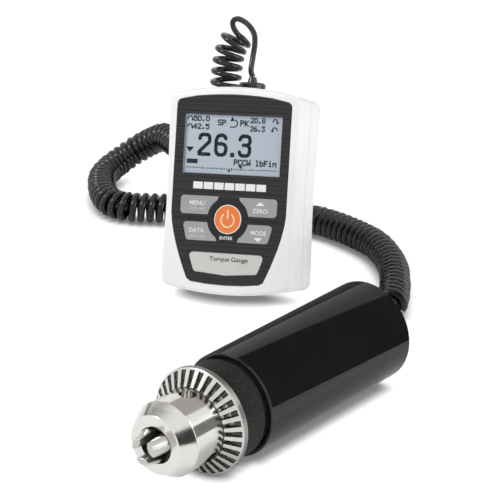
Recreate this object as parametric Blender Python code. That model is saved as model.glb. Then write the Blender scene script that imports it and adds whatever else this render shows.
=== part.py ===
"""Torque gauge: a hand-held indicator on a curly cord, and a cylindrical torque sensor with a keyed chuck.

The indicator leans back with its rear bottom edge on the floor. The sensor lies on the floor in front of it.
Sizes are in metres. +Z is up, and +X runs along the sensor, from its chuck to its cord.
"""

import math

import bmesh
import bpy
from mathutils import Matrix, Vector

# Fits
CLEAR = 0.0003

# Places on the floor
SENSOR_X = -0.06825
SENSOR_Y = -0.06788
INDICATOR_X = 0.05725
INDICATOR_Y = 0.03472
INDICATOR_LIFT = 0.01041
INDICATOR_YAW = math.radians(-76.59)
INDICATOR_RECLINE = math.radians(20.77)
INDICATOR_TILT = math.radians(6.06)

# Indicator housing
CASE_DEPTH = 0.0345
CASE_WALL = 0.0022
CASE_END_BULGE = 0.0043
CASE_CORNER = 0.0055
CASE_WAIST = 0.0009
CASE_WAIST_REACH = 0.4
CASE_DRAFT = 0.05
FRONT_EDGE = 0.0022
REAR_EDGE = 0.0040
FRONT_SHELL_DEPTH = 0.01725
FACE_RECESS = 0.00075
FACE_WALL = 0.0016

# Face of the indicator, stacked upwards from the overlay's lower edge: plate, two rows of keys, display
OVERLAY_THICK = 0.0004
OVERLAY_BOTTOM = 0.0053
OVERLAY_BOTTOM_BOW = 0.00155
OVERLAY_LOW_CORNER = 0.0026
OVERLAY_TOP_DROP = 0.0028
OVERLAY_TOP_SHARES = (0.66, 0.44, 0.22)
OVERLAY_BOW_SHARES = (0, 0.5, 0.9)
OVERLAY_TAPER_RAISE = 0.7
OVERLAY_TAPER_POWER = 1.5
OVERLAY_TAPER_STEPS = 6
PLATE_ABOVE_EDGE = 0.0065
PLATE_HEIGHT = 0.0098
PLATE_BULGE = 0.0014
PLATE_SLANT = 0.0036
KEYS_ABOVE_PLATE = 0.00605
KEY_HEIGHT = 0.0096
KEY_ROW_GAP = 0.0040
DISPLAY_ABOVE_KEYS = 0.0116
DISPLAY_WIDTH = 0.0538
DISPLAY_HEIGHT = 0.0305
DISPLAY_CORNER = 0.0005
OVERLAY_ABOVE_DISPLAY = 0.01055
OVERLAY_SIDE = 0.0050
OVERLAY_BOTTOM_STEP = 0.0106
BEZEL_SIDE = 0.0049
BEZEL_TOP = 0.0044
WINDOW_THICK = 0.0007
DISPLAY_MODULE_MARGIN = 0.0016
DISPLAY_MODULE_DEPTH = 0.0044
PLATE_TOP = OVERLAY_BOTTOM + PLATE_ABOVE_EDGE + PLATE_HEIGHT
POWER_KEY_Y = PLATE_TOP + KEYS_ABOVE_PLATE + KEY_HEIGHT + KEY_ROW_GAP / 2
DISPLAY_CENTRE_Y = POWER_KEY_Y + KEY_ROW_GAP / 2 + KEY_HEIGHT + DISPLAY_ABOVE_KEYS + DISPLAY_HEIGHT / 2
OVERLAY_TAPER_START = POWER_KEY_Y + KEY_ROW_GAP * OVERLAY_TAPER_RAISE
OVERLAY_TOP = DISPLAY_CENTRE_Y + DISPLAY_HEIGHT / 2 + OVERLAY_ABOVE_DISPLAY
OVERLAY_HALF_WIDTH = DISPLAY_WIDTH / 2 + OVERLAY_SIDE
OVERLAY_BOTTOM_HALF = OVERLAY_HALF_WIDTH - OVERLAY_BOTTOM_STEP
PLATE_HALF_TOP = OVERLAY_BOTTOM_HALF
PLATE_HALF_BOTTOM = PLATE_HALF_TOP - PLATE_SLANT
CASE_WIDTH = 2 * (OVERLAY_HALF_WIDTH + BEZEL_SIDE)
CASE_HEIGHT = OVERLAY_TOP + BEZEL_TOP

# Keys
POWER_KEY_RADIUS = 0.0076
KEY_RING_RADIUS = 0.0116
KEY_INNER_HALF = 0.0056
KEY_SIDE = 0.0049
KEY_LOWER_STEP = 0.0042
KEY_LOWER_SLOPE = 0.4
KEY_OUTER_HALF = OVERLAY_HALF_WIDTH - KEY_SIDE
KEY_LOWER_OUTER_HALF = KEY_OUTER_HALF - KEY_LOWER_STEP
KEY_CORNER = 0.0018
KEY_RISE = 0.00035
KEY_FLANGE = 0.0008
KEY_FLANGE_THICK = 0.0006
KEY_TRAVEL = 0.0004

# Inside the indicator
BOARD_THICK = 0.0016
BOARD_SIDE_GAP = 0.0143
BOARD_HALF_WIDTH = CASE_WIDTH / 2 - BOARD_SIDE_GAP
BOARD_BOTTOM = 0.0090
BOARD_TOP_GAP = 0.0094
BOARD_TOP = CASE_HEIGHT - BOARD_TOP_GAP
BOARD_TAB_GAP = 0.0038
BOARD_TAB_HALF = CASE_WIDTH / 2 - BOARD_TAB_GAP
BATTERY_WIDTH = 0.0500
BATTERY_HEIGHT = 0.0480
BATTERY_THICK = 0.0130
BATTERY_BOTTOM = 0.0180
CRADLE_WIDTH_SHARE = 0.8
BOSS_RADIUS = 0.0029
BOSS_INSET = 0.0103
BOSS_X = CASE_WIDTH / 2 - BOSS_INSET
UPPER_BOSS_GAP = 0.0101
UPPER_BOSS_Y = CASE_HEIGHT - UPPER_BOSS_GAP
LOWER_BOSS_Y = 0.0110
SCREW_RADIUS = 0.0012
SCREW_HEAD_RADIUS = 0.0024
SCREW_HEAD_HEIGHT = 0.0016
SCREW_BITE = 0.0090
SCREW_TIP_SHARE = 0.6
SCREW_CROWN_SHARE = 0.8

# Sockets in the left side of the indicator
SOCKET_SPACING = 0.0180
CHARGE_SOCKET_BELOW_MIDDLE = 0.00195
CHARGE_SOCKET_Y = CASE_HEIGHT / 2 - CHARGE_SOCKET_BELOW_MIDDLE
DATA_SOCKET_Y = CHARGE_SOCKET_Y + SOCKET_SPACING
DATA_SOCKET_WIDTH = 0.0077
DATA_SOCKET_HEIGHT = 0.0039
SOCKET_LENGTH = 0.0090
SOCKET_WALL = 0.0005
SOCKET_HOLLOW_SHARE = 0.6
SOCKET_TONGUE_SHARE = 0.5
SOCKET_TONGUE_INSET = 0.55
CHARGE_HOLLOW_SHARE = 0.7
CHARGE_SOCKET_RADIUS = 0.0030
CHARGE_BORE_RADIUS = 0.00175
CHARGE_PIN_RADIUS = 0.00065

# Cord gland on top of the indicator
GLAND_DEPTH = 0.0223
GLAND_RADIUS = 0.0070
GLAND_HEIGHT = 0.0038
GLAND_THREAD_RADIUS = 0.0037
GLAND_NECK_RADIUS = 0.0026
GLAND_NECK_HEIGHT = 0.0030
GLAND_NECK_TAPER = 0.75
GLAND_NUT_RADIUS = 0.0062
GLAND_NUT_HEIGHT = 0.0025

# Sensor handle
HANDLE_LENGTH = 0.10875
HANDLE_RADIUS = 0.0250
HANDLE_WALL = 0.0030
HANDLE_EDGE = 0.0006
SHAFT_RADIUS = 0.0057
BEARING_RADIUS = 0.0140
BEARING_WIDTH = 0.0080
BEARING_RACE_SHARE = 0.28
FRONT_LIP = 0.0012
SEAL_RADIUS = 0.0215
SEAL_WIDTH = 0.0025
NECK_RADIUS = 0.0038
NECK_LENGTH = 0.0220
FLANGE_RADIUS = 0.0120
FLANGE_WIDTH = 0.0060
ANCHOR_WIDTH = 0.0080
PILLAR_RADIUS = 0.0018
PILLAR_LENGTH = 0.0080
SENSOR_BOARD_RADIUS = 0.0175
REAR_CAP_THICK = 0.0070
SPANNER_HOLE_RADIUS = 0.0016
SPANNER_HOLE_TURNS = (0.25, 0.75)
RELIEF_RADIUS = 0.0052
RELIEF_TIP_RADIUS = 0.0024
RELIEF_LENGTH = 0.0200
RELIEF_GROOVES = 3
RELIEF_GROOVED_SHARE = 0.8
RELIEF_FIRST_SHARE = 0.15
RELIEF_GROOVE_SHARE = 0.4
RELIEF_GROOVE_SINK = 0.86
RELIEF_SHOULDER_SHARE = 1.4

# Collar in front of the handle
COLLAR_RADIUS = 0.0234
COLLAR_WALL = 0.0012
COLLAR_WEB = 0.0010
COLLAR_FRONT = 0.0177

# Chuck, measured forwards from the handle's front end
CHUCK_TURN = math.radians(-4.0)
CHUCK_NOSE = 0.0520
NOSE_RADIUS = 0.0138
CONE_START = 0.0442
BODY_RADIUS = 0.0180
BODY_REAR_RADIUS = 0.0176
SLEEVE_FRONT = 0.0261
BODY_SHOULDER = 0.0220
BODY_NUT_RADIUS = 0.0160
BODY_REAR = 0.0140
HUB_RADIUS = 0.0088
SPINDLE_NOSE_RADIUS = 0.0047
SPINDLE_NOSE_FRONT = 0.0177
SPINDLE_NOSE_EASE = 0.15
MOUTH_RADIUS = 0.0087
MOUTH_DEPTH = 0.0020
MOUTH_TAPER = 0.15
WORK_BORE_RADIUS = 0.0065
KEY_HOLE_RADIUS = 0.0038
KEY_HOLE_PLACE = 0.0315
KEY_HOLE_DEPTH = 0.0070
RIM_RADIUS = 0.0256
RIM_FRONT = 0.02095
RIM_WIDTH = 0.0027
SLEEVE_REAR = 0.0166
TOOTH_COUNT = 30
TOOTH_DEPTH = 0.0026
TOOTH_OUTER_SINK = 0.12
TOOTH_STATIONS = ((0.0, 0), (0.42, 0), (0.55, 1), (0.87, 1))
TOOTH_END_RADIUS = 0.0243
NUT_RADIUS = 0.0209
NUT_WIDTH = 0.0048
SLEEVE_BARREL_RADIUS = 0.0219

# Jaws
JAW_COUNT = 3
JAW_RADIUS = 0.0044
JAW_LENGTH = 0.0495
JAW_TILT = math.radians(15.0)
JAW_RADIUS_AT_NOSE = 0.0042
JAW_REACH = 0.0086
JAW_OPENING = 0.0032
JAW_LAND = 0.0012

# Cord
CORD_DIAMETER = 0.0030
CURL_DIAMETER = 0.0165
CURL_STEP = 0.011
TAIL_STEP = 0.006
INDICATOR_TAIL = [
    (0.1150, 0.0612, 0.1117),
    (0.1187, 0.0623, 0.1172),
    (0.1239, 0.0637, 0.1227),
    (0.1283, 0.0669, 0.1276),
    (0.1314, 0.0726, 0.1307),
    (0.1343, 0.0791, 0.1306),
    (0.1356, 0.0842, 0.1275),
    (0.1356, 0.0876, 0.1225),
]
CURL_ROUTE = [
    (0.1349, 0.0878, 0.1179),
    (0.1324, 0.0872, 0.1098),
    (0.1300, 0.0864, 0.1011),
    (0.1271, 0.0855, 0.0907),
    (0.1249, 0.0854, 0.0789),
    (0.1244, 0.0881, 0.0671),
    (0.1281, 0.0963, 0.0552),
    (0.1361, 0.1096, 0.0454),
    (0.1477, 0.1253, 0.0386),
    (0.1605, 0.1420, 0.0343),
    (0.1731, 0.1597, 0.0320),
    (0.1828, 0.1777, 0.0300),
    (0.1840, 0.1897, 0.0240),
    (0.1807, 0.1981, 0.0180),
    (0.1752, 0.2027, 0.0135),
    (0.1654, 0.2035, 0.0105),
    (0.1530, 0.1997, 0.0090),
    (0.1409, 0.1899, 0.0085),
    (0.1311, 0.1792, 0.0085),
    (0.1255, 0.1689, 0.0085),
    (0.1257, 0.1596, 0.0085),
    (0.1298, 0.1521, 0.0085),
    (0.1344, 0.1451, 0.0085),
    (0.1450, 0.1297, 0.0085),
    (0.1581, 0.1107, 0.0085),
    (0.1691, 0.0897, 0.0085),
    (0.1760, 0.0687, 0.0085),
    (0.1770, 0.0568, 0.0085),
    (0.1762, 0.0468, 0.0085),
    (0.1740, 0.0358, 0.0085),
    (0.1711, 0.0245, 0.0085),
    (0.1666, 0.0144, 0.0085),
    (0.1591, 0.0040, 0.0085),
    (0.1475, -0.0088, 0.0085),
    (0.1316, -0.0212, 0.0085),
    (0.1171, -0.0307, 0.0085),
    (0.1056, -0.0374, 0.0085),
    (0.0986, -0.0421, 0.0085),
]
HANDLE_TAIL = [
    (0.0981, -0.0426, 0.0086),
    (0.0943, -0.0456, 0.0093),
    (0.0898, -0.0506, 0.0114),
    (0.0856, -0.0550, 0.0143),
    (0.0803, -0.0600, 0.0181),
    (0.0743, -0.0644, 0.0219),
    (0.0681, -0.0670, 0.0246),
    (0.0613, -0.0679, 0.0256),
]

# How finely round shapes are drawn
FINE_STEPS = 48
ROUND_STEPS = 36
INNER_STEPS = 20
SMALL_STEPS = 12
EDGE_STEPS = 4
CORNER_STEPS = 3

# The scene starts empty
for old in list(bpy.data.objects):
    bpy.data.objects.remove(old, do_unlink=True)


def material(name, colour, roughness, metallic=0.0):
    made = bpy.data.materials.new(name)
    made.use_nodes = True
    shader = made.node_tree.nodes["Principled BSDF"]
    shader.inputs["Base Color"].default_value = (*colour, 1.0)
    shader.inputs["Roughness"].default_value = roughness
    shader.inputs["Metallic"].default_value = metallic
    made.diffuse_color = (*colour, 1.0)
    return made


def empty(name, place, parent=None):
    made = bpy.data.objects.new(name, None)
    bpy.context.scene.collection.objects.link(made)
    made.parent = parent
    made.matrix_basis = place
    return made


def solid(name, bm, finish, parent):
    """A closed bmesh becomes a named object under the empty that carries it."""
    bmesh.ops.remove_doubles(bm, verts=bm.verts, dist=1e-7)
    bmesh.ops.recalc_face_normals(bm, faces=bm.faces)
    mesh = bpy.data.meshes.new(name)
    bm.to_mesh(mesh)
    bm.free()
    mesh.shade_smooth()
    mesh.set_sharp_from_angle(angle=math.radians(32))
    made = bpy.data.objects.new(name, mesh)
    bpy.context.scene.collection.objects.link(made)
    made.parent = parent
    if finish:
        mesh.materials.append(finish)
    return made


def cutter(name, bm, parent):
    made = solid(name, bm, None, parent)
    made.hide_render = True
    made.display_type = "WIRE"
    return made


def change(target, tool, operation):
    modifier = target.modifiers.new(tool.name, "BOOLEAN")
    modifier.operation = operation
    modifier.solver = "EXACT"
    modifier.object = tool


def cut(target, tool):
    change(target, tool, "DIFFERENCE")


def add(target, tool):
    change(target, tool, "UNION")


def prism(bm, outline, low, high):
    """The outline, in the XY plane, extruded from one height to the other."""
    base = [bm.verts.new((x, y, low)) for x, y in outline]
    face = bm.faces.new(base)
    raised = bmesh.ops.extrude_face_region(bm, geom=[face])["geom"]
    tops = [item for item in raised if isinstance(item, bmesh.types.BMVert)]
    bmesh.ops.translate(bm, verts=tops, vec=(0, 0, high - low))


def loft(bm, rings):
    """Rings of as many points each, joined in order, with the first and the last closed."""
    made = [[bm.verts.new(point) for point in ring] for ring in rings]
    bm.faces.new(made[0])
    bm.faces.new(made[-1])
    count = len(made[0])
    for lower, upper in zip(made, made[1:]):
        for i in range(count):
            j = (i + 1) % count
            bm.faces.new((lower[i], lower[j], upper[j], upper[i]))


def revolve(bm, profile, steps=ROUND_STEPS):
    """A closed profile of (place along X, radius) points, turned about the X axis."""
    ends = [bm.verts.new((x, 0, r)) for x, r in profile]
    edges = [bm.edges.new((a, b)) for a, b in zip(ends, ends[1:] + ends[:1])]
    on_axis = [e for e in edges if all(abs(v.co.z) < 1e-9 for v in e.verts)]
    for edge in on_axis:
        edges.remove(edge)
        bm.edges.remove(edge)
    geom = ends + edges
    along_x = (1, 0, 0)
    bmesh.ops.spin(bm, geom=geom, cent=(0, 0, 0), axis=along_x, angle=math.tau, steps=steps, use_merge=True)
    bmesh.ops.remove_doubles(bm, verts=bm.verts, dist=1e-7)


def turned(name, profile, finish, parent, steps=ROUND_STEPS):
    bm = bmesh.new()
    revolve(bm, profile, steps)
    return solid(name, bm, finish, parent)


def ring_profile(start, end, inner, outer):
    return [(start, inner), (start, outer), (end, outer), (end, inner)]


def rod(bm, start, end, radius, steps=INNER_STEPS):
    """A round rod between two points."""
    start, end = Vector(start), Vector(end)
    along = end - start
    turn = along.to_track_quat("Z", "Y").to_matrix().to_4x4()
    place = Matrix.Translation((start + end) / 2) @ turn
    bmesh.ops.create_cone(
        bm, cap_ends=True, segments=steps, radius1=radius, radius2=radius, depth=along.length, matrix=place
    )


def polar(radius, angle):
    """Y and Z of a point round the sensor's axis, with the angle measured from straight up."""
    return radius * math.sin(angle), radius * math.cos(angle)


def arc(cx, cy, radius, start, end, steps):
    return [
        (cx + radius * math.cos(a), cy + radius * math.sin(a))
        for a in (start + (end - start) * i / steps for i in range(steps + 1))
    ]


def rounded(corners):
    """An outline whose corners are (x, y, radius), each drawn as an arc between its two sides."""
    outline = []
    count = len(corners)
    for i, (x, y, radius) in enumerate(corners):
        if radius <= 0:
            outline.append((x, y))
            continue
        here = Vector((x, y))
        before = (Vector(corners[i - 1][:2]) - here).normalized()
        after = (Vector(corners[(i + 1) % count][:2]) - here).normalized()
        half = before.angle(after) / 2
        centre = here + (before + after).normalized() * radius / math.sin(half)
        first = here + before * radius / math.tan(half) - centre
        last = here + after * radius / math.tan(half) - centre
        sweep = first.angle_signed(last)
        start = math.atan2(first.y, first.x)
        outline += arc(centre.x, centre.y, radius, start, start - sweep, CORNER_STEPS)
    return outline


def grown(outline, by):
    """The outline moved outwards along its own normals."""
    area = sum(a[0] * b[1] - b[0] * a[1] for a, b in zip(outline, outline[1:] + outline[:1]))
    turn = 1 if area > 0 else -1
    moved = []
    for i, point in enumerate(outline):
        here = Vector(point)
        after = (Vector(outline[(i + 1) % len(outline)]) - here).normalized()
        before = (here - Vector(outline[i - 1])).normalized()
        normal = Vector((before.y + after.y, -before.x - after.x)) * turn
        normal.normalize()
        stretch = max(normal.dot(Vector((after.y, -after.x)) * turn), 0.5)
        moved.append(tuple(here + normal * by / stretch))
    return moved


# Depths below the face of the indicator, worked out from the sizes above
OVERLAY_LOW = FACE_RECESS - CLEAR
OVERLAY_HIGH = OVERLAY_LOW - OVERLAY_THICK
WALL_INNER = FACE_RECESS + FACE_WALL
KEY_FLANGE_TOP = WALL_INNER + CLEAR
KEY_FLANGE_LOW = KEY_FLANGE_TOP + KEY_FLANGE_THICK
PAD_TOP = KEY_FLANGE_LOW + KEY_TRAVEL + CLEAR
BOARD_TOP_DEPTH = WALL_INNER + CLEAR + DISPLAY_MODULE_DEPTH + CLEAR
BOARD_LOW_DEPTH = BOARD_TOP_DEPTH + BOARD_THICK
REAR_INNER = CASE_DEPTH - CASE_WALL
REAR_SHELL_START = FRONT_SHELL_DEPTH + CLEAR
CASE_END_RADIUS = ((CASE_WIDTH / 2) ** 2 + CASE_END_BULGE**2) / (2 * CASE_END_BULGE)
SCREW_PLACES = [
    (side * BOSS_X, y) for y in (UPPER_BOSS_Y, LOWER_BOSS_Y) for side in (-1, 1)
]

# The sensor lies on whichever is wider, its handle or the rim of its chuck
SENSOR_HEIGHT = max(HANDLE_RADIUS, RIM_RADIUS)

# Places along the sensor's axis, from the front end of the handle towards its rear
HANDLE_BORE = HANDLE_RADIUS - HANDLE_WALL
BORE_FIT = HANDLE_BORE - CLEAR
COLLAR_REAR = SEAL_WIDTH + CLEAR
WEB_FRONT = COLLAR_REAR + COLLAR_WEB
HUB_REAR = WEB_FRONT + CLEAR
BEARING_START = CLEAR + FRONT_LIP + CLEAR
BEARING_END = BEARING_START + BEARING_WIDTH
NECK_START = BEARING_END + 0.4 * SHAFT_RADIUS
FLANGE_START = NECK_START + NECK_LENGTH
FLANGE_END = FLANGE_START + FLANGE_WIDTH
ANCHOR_END = FLANGE_START + ANCHOR_WIDTH
PILLAR_END = ANCHOR_END + PILLAR_LENGTH
NUT_FRONT = BODY_SHOULDER - CLEAR

# Finishes
WHITE_PLASTIC = material("white_plastic", (0.84, 0.84, 0.83), 0.42)
OVERLAY_FILM = material("overlay_film", (0.06, 0.06, 0.06), 0.45)
KEY_GREY = material("key_grey", (0.36, 0.36, 0.36), 0.5)
KEY_ORANGE = material("key_orange", (0.85, 0.22, 0.03), 0.45)
DISPLAY_GLASS = material("display_glass", (0.40, 0.47, 0.58), 0.2)
CLEAR_WINDOW = material("clear_window", (0.62, 0.68, 0.76), 0.08)
SILVER_FOIL = material("silver_foil", (0.55, 0.55, 0.53), 0.35, 1.0)
BOARD_GREEN = material("board_green", (0.03, 0.17, 0.07), 0.55)
SILICONE = material("silicone", (0.18, 0.18, 0.18), 0.8)
BATTERY_WRAP = material("battery_wrap", (0.05, 0.13, 0.33), 0.4)
STEEL = material("steel", (0.62, 0.61, 0.59), 0.28, 1.0)
BRIGHT_STEEL = material("bright_steel", (0.68, 0.67, 0.65), 0.22, 1.0)
BLACK_PLASTIC = material("black_plastic", (0.02, 0.02, 0.02), 0.45)
BLACK_ANODISED = material("black_anodised", (0.012, 0.012, 0.012), 0.22, 0.4)
GREY_COATING = material("grey_coating", (0.035, 0.035, 0.035), 0.6)
RUBBER = material("rubber", (0.015, 0.015, 0.015), 0.7)
CORD_JACKET = material("cord_jacket", (0.03, 0.03, 0.032), 0.4)


def flipped(outline):
    """The outline mirrored left to right, still counterclockwise."""
    return [(-x, y) for x, y in reversed(outline)]


def case_waist(y):
    """How far the sides come in at a height up the case."""
    share = min(abs(y - CASE_HEIGHT / 2) / (CASE_HEIGHT * CASE_WAIST_REACH), 1)
    return CASE_WAIST * (1 + math.cos(math.pi * share)) / 2


def case_half_width(y, depth):
    return CASE_WIDTH / 2 - CASE_DRAFT * depth - case_waist(y)


def case_outline(inset):
    """The case's outline seen from the front, moved inwards, counterclockwise from the bottom."""
    half = CASE_WIDTH / 2 - inset
    corner = max(CASE_CORNER - inset, CASE_CORNER / 6)
    radius = CASE_END_RADIUS - inset
    centre_y = CASE_END_RADIUS - math.sqrt((radius - corner) ** 2 - (half - corner) ** 2)
    meet = math.atan2(centre_y - CASE_END_RADIUS, half - corner)
    quarter = arc(0, CASE_END_RADIUS, radius, -math.pi / 2, meet, EDGE_STEPS)[:-1]
    quarter += arc(half - corner, centre_y, corner, meet, 0, EDGE_STEPS)
    top_quarter = [(x, CASE_HEIGHT - y) for x, y in reversed(quarter)]
    low, high = centre_y, CASE_HEIGHT - centre_y
    side_heights = [low + (high - low) * i / 8 for i in range(1, 8)]
    side = [(half - case_waist(y), y) for y in side_heights]
    right = quarter + side + top_quarter
    return right + [(-x, y) for x, y in reversed(right[1:-1])]


def case_ring(inset, depth):
    return [(x, y, -depth) for x, y in case_outline(inset + CASE_DRAFT * depth)]


def edge_rings(edge, depth, towards_rear):
    """Rings round a curved edge of the case, from the flat face outwards."""
    rings = []
    for i in range(EDGE_STEPS + 1):
        a = math.pi / 2 * i / EDGE_STEPS
        sink = edge * (1 - math.cos(a))
        rings.append(case_ring(edge * (1 - math.sin(a)), depth - sink if towards_rear else depth + sink))
    return rings


def case_bosses(bm, start, end):
    for x, y in SCREW_PLACES:
        rod(bm, (x, y, -start), (x, y, -end), BOSS_RADIUS, SMALL_STEPS)


def case_screw_holes(bm, start, end):
    for x, y in SCREW_PLACES:
        rod(bm, (x, y, -start), (x, y, -end), SCREW_RADIUS + CLEAR, SMALL_STEPS)


def overlay_outline():
    """The overlay, wide over the display and tapering towards the bottom."""
    corner_y = OVERLAY_TOP - OVERLAY_TOP_DROP
    low_corner_y = OVERLAY_BOTTOM + OVERLAY_LOW_CORNER
    right = []
    for x_share in OVERLAY_BOW_SHARES:
        right.append((OVERLAY_BOTTOM_HALF * x_share, OVERLAY_BOTTOM + OVERLAY_BOTTOM_BOW * x_share**2))
    right.append((OVERLAY_BOTTOM_HALF, low_corner_y))
    for i in range(1, OVERLAY_TAPER_STEPS + 1):
        share = 1 - i / OVERLAY_TAPER_STEPS
        y = OVERLAY_TAPER_START - (OVERLAY_TAPER_START - low_corner_y) * share
        right.append((OVERLAY_HALF_WIDTH - OVERLAY_BOTTOM_STEP * share**OVERLAY_TAPER_POWER, y))
    right += rounded_corner(OVERLAY_HALF_WIDTH, corner_y, OVERLAY_TOP_DROP)
    for x_share in OVERLAY_TOP_SHARES:
        right.append((OVERLAY_HALF_WIDTH * x_share, OVERLAY_TOP - OVERLAY_TOP_DROP * x_share**2))
    top = [(0, OVERLAY_TOP)]
    return right + top + [(-x, y) for x, y in reversed(right[1:])]


def rounded_corner(x, y, radius):
    return arc(x - radius, y - radius, radius, 0, math.pi / 2, CORNER_STEPS)


def display_outline(grow=0.0):
    half_x, half_y = DISPLAY_WIDTH / 2 + grow, DISPLAY_HEIGHT / 2 + grow
    corner = DISPLAY_CORNER + grow
    signs = ((1, -1), (1, 1), (-1, 1), (-1, -1))
    return rounded([(sx * half_x, DISPLAY_CENTRE_Y + sy * half_y, corner) for sx, sy in signs])


def plate_outline():
    top, bottom = PLATE_TOP, PLATE_TOP - PLATE_HEIGHT
    return rounded(
        [
            (0, bottom - PLATE_BULGE, 0),
            (PLATE_HALF_BOTTOM, bottom, KEY_CORNER),
            (PLATE_HALF_TOP, top, KEY_CORNER),
            (-PLATE_HALF_TOP, top, KEY_CORNER),
            (-PLATE_HALF_BOTTOM, bottom, KEY_CORNER),
        ]
    )


def ring_x(y):
    """Where the ring round the power key lies at a height, on the right."""
    return math.sqrt(max(KEY_RING_RADIUS**2 - (y - POWER_KEY_Y) ** 2, 0))


def upper_key_outline():
    """The upper right key, with a hollow side that follows the ring round the power key."""
    low = POWER_KEY_Y + KEY_ROW_GAP / 2
    high = low + KEY_HEIGHT
    hollow = [low + (high - low) * i / 5 for i in range(1, 5)]
    inner = [(max(ring_x(y), KEY_INNER_HALF), y, 0) for y in hollow]
    return rounded(
        [
            (ring_x(low), low, KEY_CORNER / 4),
            (KEY_OUTER_HALF, low, KEY_CORNER),
            (KEY_OUTER_HALF, high, KEY_CORNER),
            (KEY_INNER_HALF, high, KEY_CORNER / 4),
        ]
        + list(reversed(inner))
    )


def lower_key_outline():
    """The lower right key, whose outer side slopes with the overlay."""
    high = POWER_KEY_Y - KEY_ROW_GAP / 2
    low = high - KEY_HEIGHT
    slope = (KEY_OUTER_HALF - KEY_LOWER_OUTER_HALF) * KEY_LOWER_SLOPE
    hollow = [low + (high - low) * i / 5 for i in range(1, 5)]
    inner = [(max(ring_x(y), KEY_INNER_HALF), y, 0) for y in hollow]
    return rounded(
        [
            (KEY_INNER_HALF, low, KEY_CORNER / 4),
            (KEY_LOWER_OUTER_HALF, low, KEY_CORNER),
            (KEY_OUTER_HALF - slope, high, KEY_CORNER),
            (ring_x(high), high, KEY_CORNER / 4),
        ]
        + list(reversed(inner))
    )


def power_key_outline():
    return arc(0, POWER_KEY_Y, POWER_KEY_RADIUS, 0, math.tau, INNER_STEPS)[:-1]


def key_outlines():
    upper, lower = upper_key_outline(), lower_key_outline()
    return {
        "key_menu": flipped(upper),
        "key_data": flipped(lower),
        "key_zero": upper,
        "key_mode": lower,
        "key_power": power_key_outline(),
    }


def front_housing(carrier):
    """The front shell: a rounded bezel, open for the display and the keys, with bosses for the screws."""
    rings = edge_rings(FRONT_EDGE, 0, towards_rear=False)
    rings.append(case_ring(0, FRONT_SHELL_DEPTH))
    rings.append(case_ring(CASE_WALL, FRONT_SHELL_DEPTH))
    rings.append(case_ring(CASE_WALL, WALL_INNER))
    bm = bmesh.new()
    loft(bm, rings)
    shell = solid("front_housing", bm, WHITE_PLASTIC, carrier)
    bm = bmesh.new()
    case_bosses(bm, WALL_INNER - FACE_WALL / 2, FRONT_SHELL_DEPTH)
    add(shell, cutter("front_bosses", bm, carrier))
    bm = bmesh.new()
    prism(bm, grown(overlay_outline(), CLEAR), -FACE_RECESS, FRONT_EDGE)
    cut(shell, cutter("face_recess", bm, carrier))
    bm = bmesh.new()
    prism(bm, display_outline(CLEAR), -WALL_INNER - FACE_WALL, 0)
    for outline in key_outlines().values():
        prism(bm, grown(outline, CLEAR), -WALL_INNER - FACE_WALL, 0)
    case_screw_holes(bm, FRONT_SHELL_DEPTH + FACE_WALL, FRONT_SHELL_DEPTH - SCREW_BITE - CLEAR)
    data_socket_space(bm)
    charge_socket_space(bm)
    cut(shell, cutter("front_openings", bm, carrier))


def rear_housing(carrier):
    """The rear shell, with the screws' counterbores, the battery's cradle and the gland's hole."""
    rings = edge_rings(REAR_EDGE, CASE_DEPTH, towards_rear=True)
    rings.append(case_ring(0, REAR_SHELL_START))
    rings.append(case_ring(CASE_WALL, REAR_SHELL_START))
    inner_edge = max(REAR_EDGE - CASE_WALL, REAR_EDGE / 4)
    rings.append(case_ring(CASE_WALL, REAR_INNER - inner_edge))
    rings.append(case_ring(CASE_WALL + inner_edge, REAR_INNER))
    bm = bmesh.new()
    loft(bm, rings)
    shell = solid("rear_housing", bm, WHITE_PLASTIC, carrier)
    bm = bmesh.new()
    case_bosses(bm, REAR_INNER + CASE_WALL / 2, REAR_SHELL_START)
    cradle = (BATTERY_BOTTOM - CLEAR - CASE_WALL / 2, BATTERY_BOTTOM + BATTERY_HEIGHT + CLEAR + CASE_WALL / 2)
    rib = (BATTERY_WIDTH * CRADLE_WIDTH_SHARE, CASE_WALL, BATTERY_THICK / 2 + CASE_WALL)
    for y in cradle:
        block(bm, (0, y, -REAR_INNER + BATTERY_THICK / 4), rib)
    add(shell, cutter("rear_bosses", bm, carrier))
    bm = bmesh.new()
    case_screw_holes(bm, CASE_DEPTH + CASE_WALL, REAR_SHELL_START - CASE_WALL)
    cut(shell, cutter("rear_screw_holes", bm, carrier))
    bm = bmesh.new()
    for x, y in SCREW_PLACES:
        floor = CASE_DEPTH - SCREW_HEAD_HEIGHT - 2 * CLEAR
        rod(bm, (x, y, -floor), (x, y, -CASE_DEPTH - CASE_WALL), SCREW_HEAD_RADIUS + CLEAR, SMALL_STEPS)
    below, above = CASE_HEIGHT - 3 * CASE_WALL, CASE_HEIGHT + CASE_WALL
    rod(bm, (0, below, -GLAND_DEPTH), (0, above, -GLAND_DEPTH), GLAND_THREAD_RADIUS + CLEAR)
    cut(shell, cutter("rear_openings", bm, carrier))


def block(bm, centre, size):
    place = Matrix.Translation(centre) @ Matrix.Diagonal((*size, 1))
    bmesh.ops.create_cube(bm, size=1, matrix=place)


def face_overlay(carrier):
    bm = bmesh.new()
    prism(bm, overlay_outline(), -OVERLAY_LOW, -OVERLAY_HIGH)
    film = solid("face_overlay", bm, OVERLAY_FILM, carrier)
    bm = bmesh.new()
    below, above = -FACE_RECESS, FACE_RECESS
    prism(bm, display_outline(CLEAR), below, above)
    prism(bm, grown(plate_outline(), CLEAR), below, above)
    for outline in key_outlines().values():
        prism(bm, grown(outline, CLEAR), below, above)
    cut(film, cutter("overlay_openings", bm, carrier))


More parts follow.
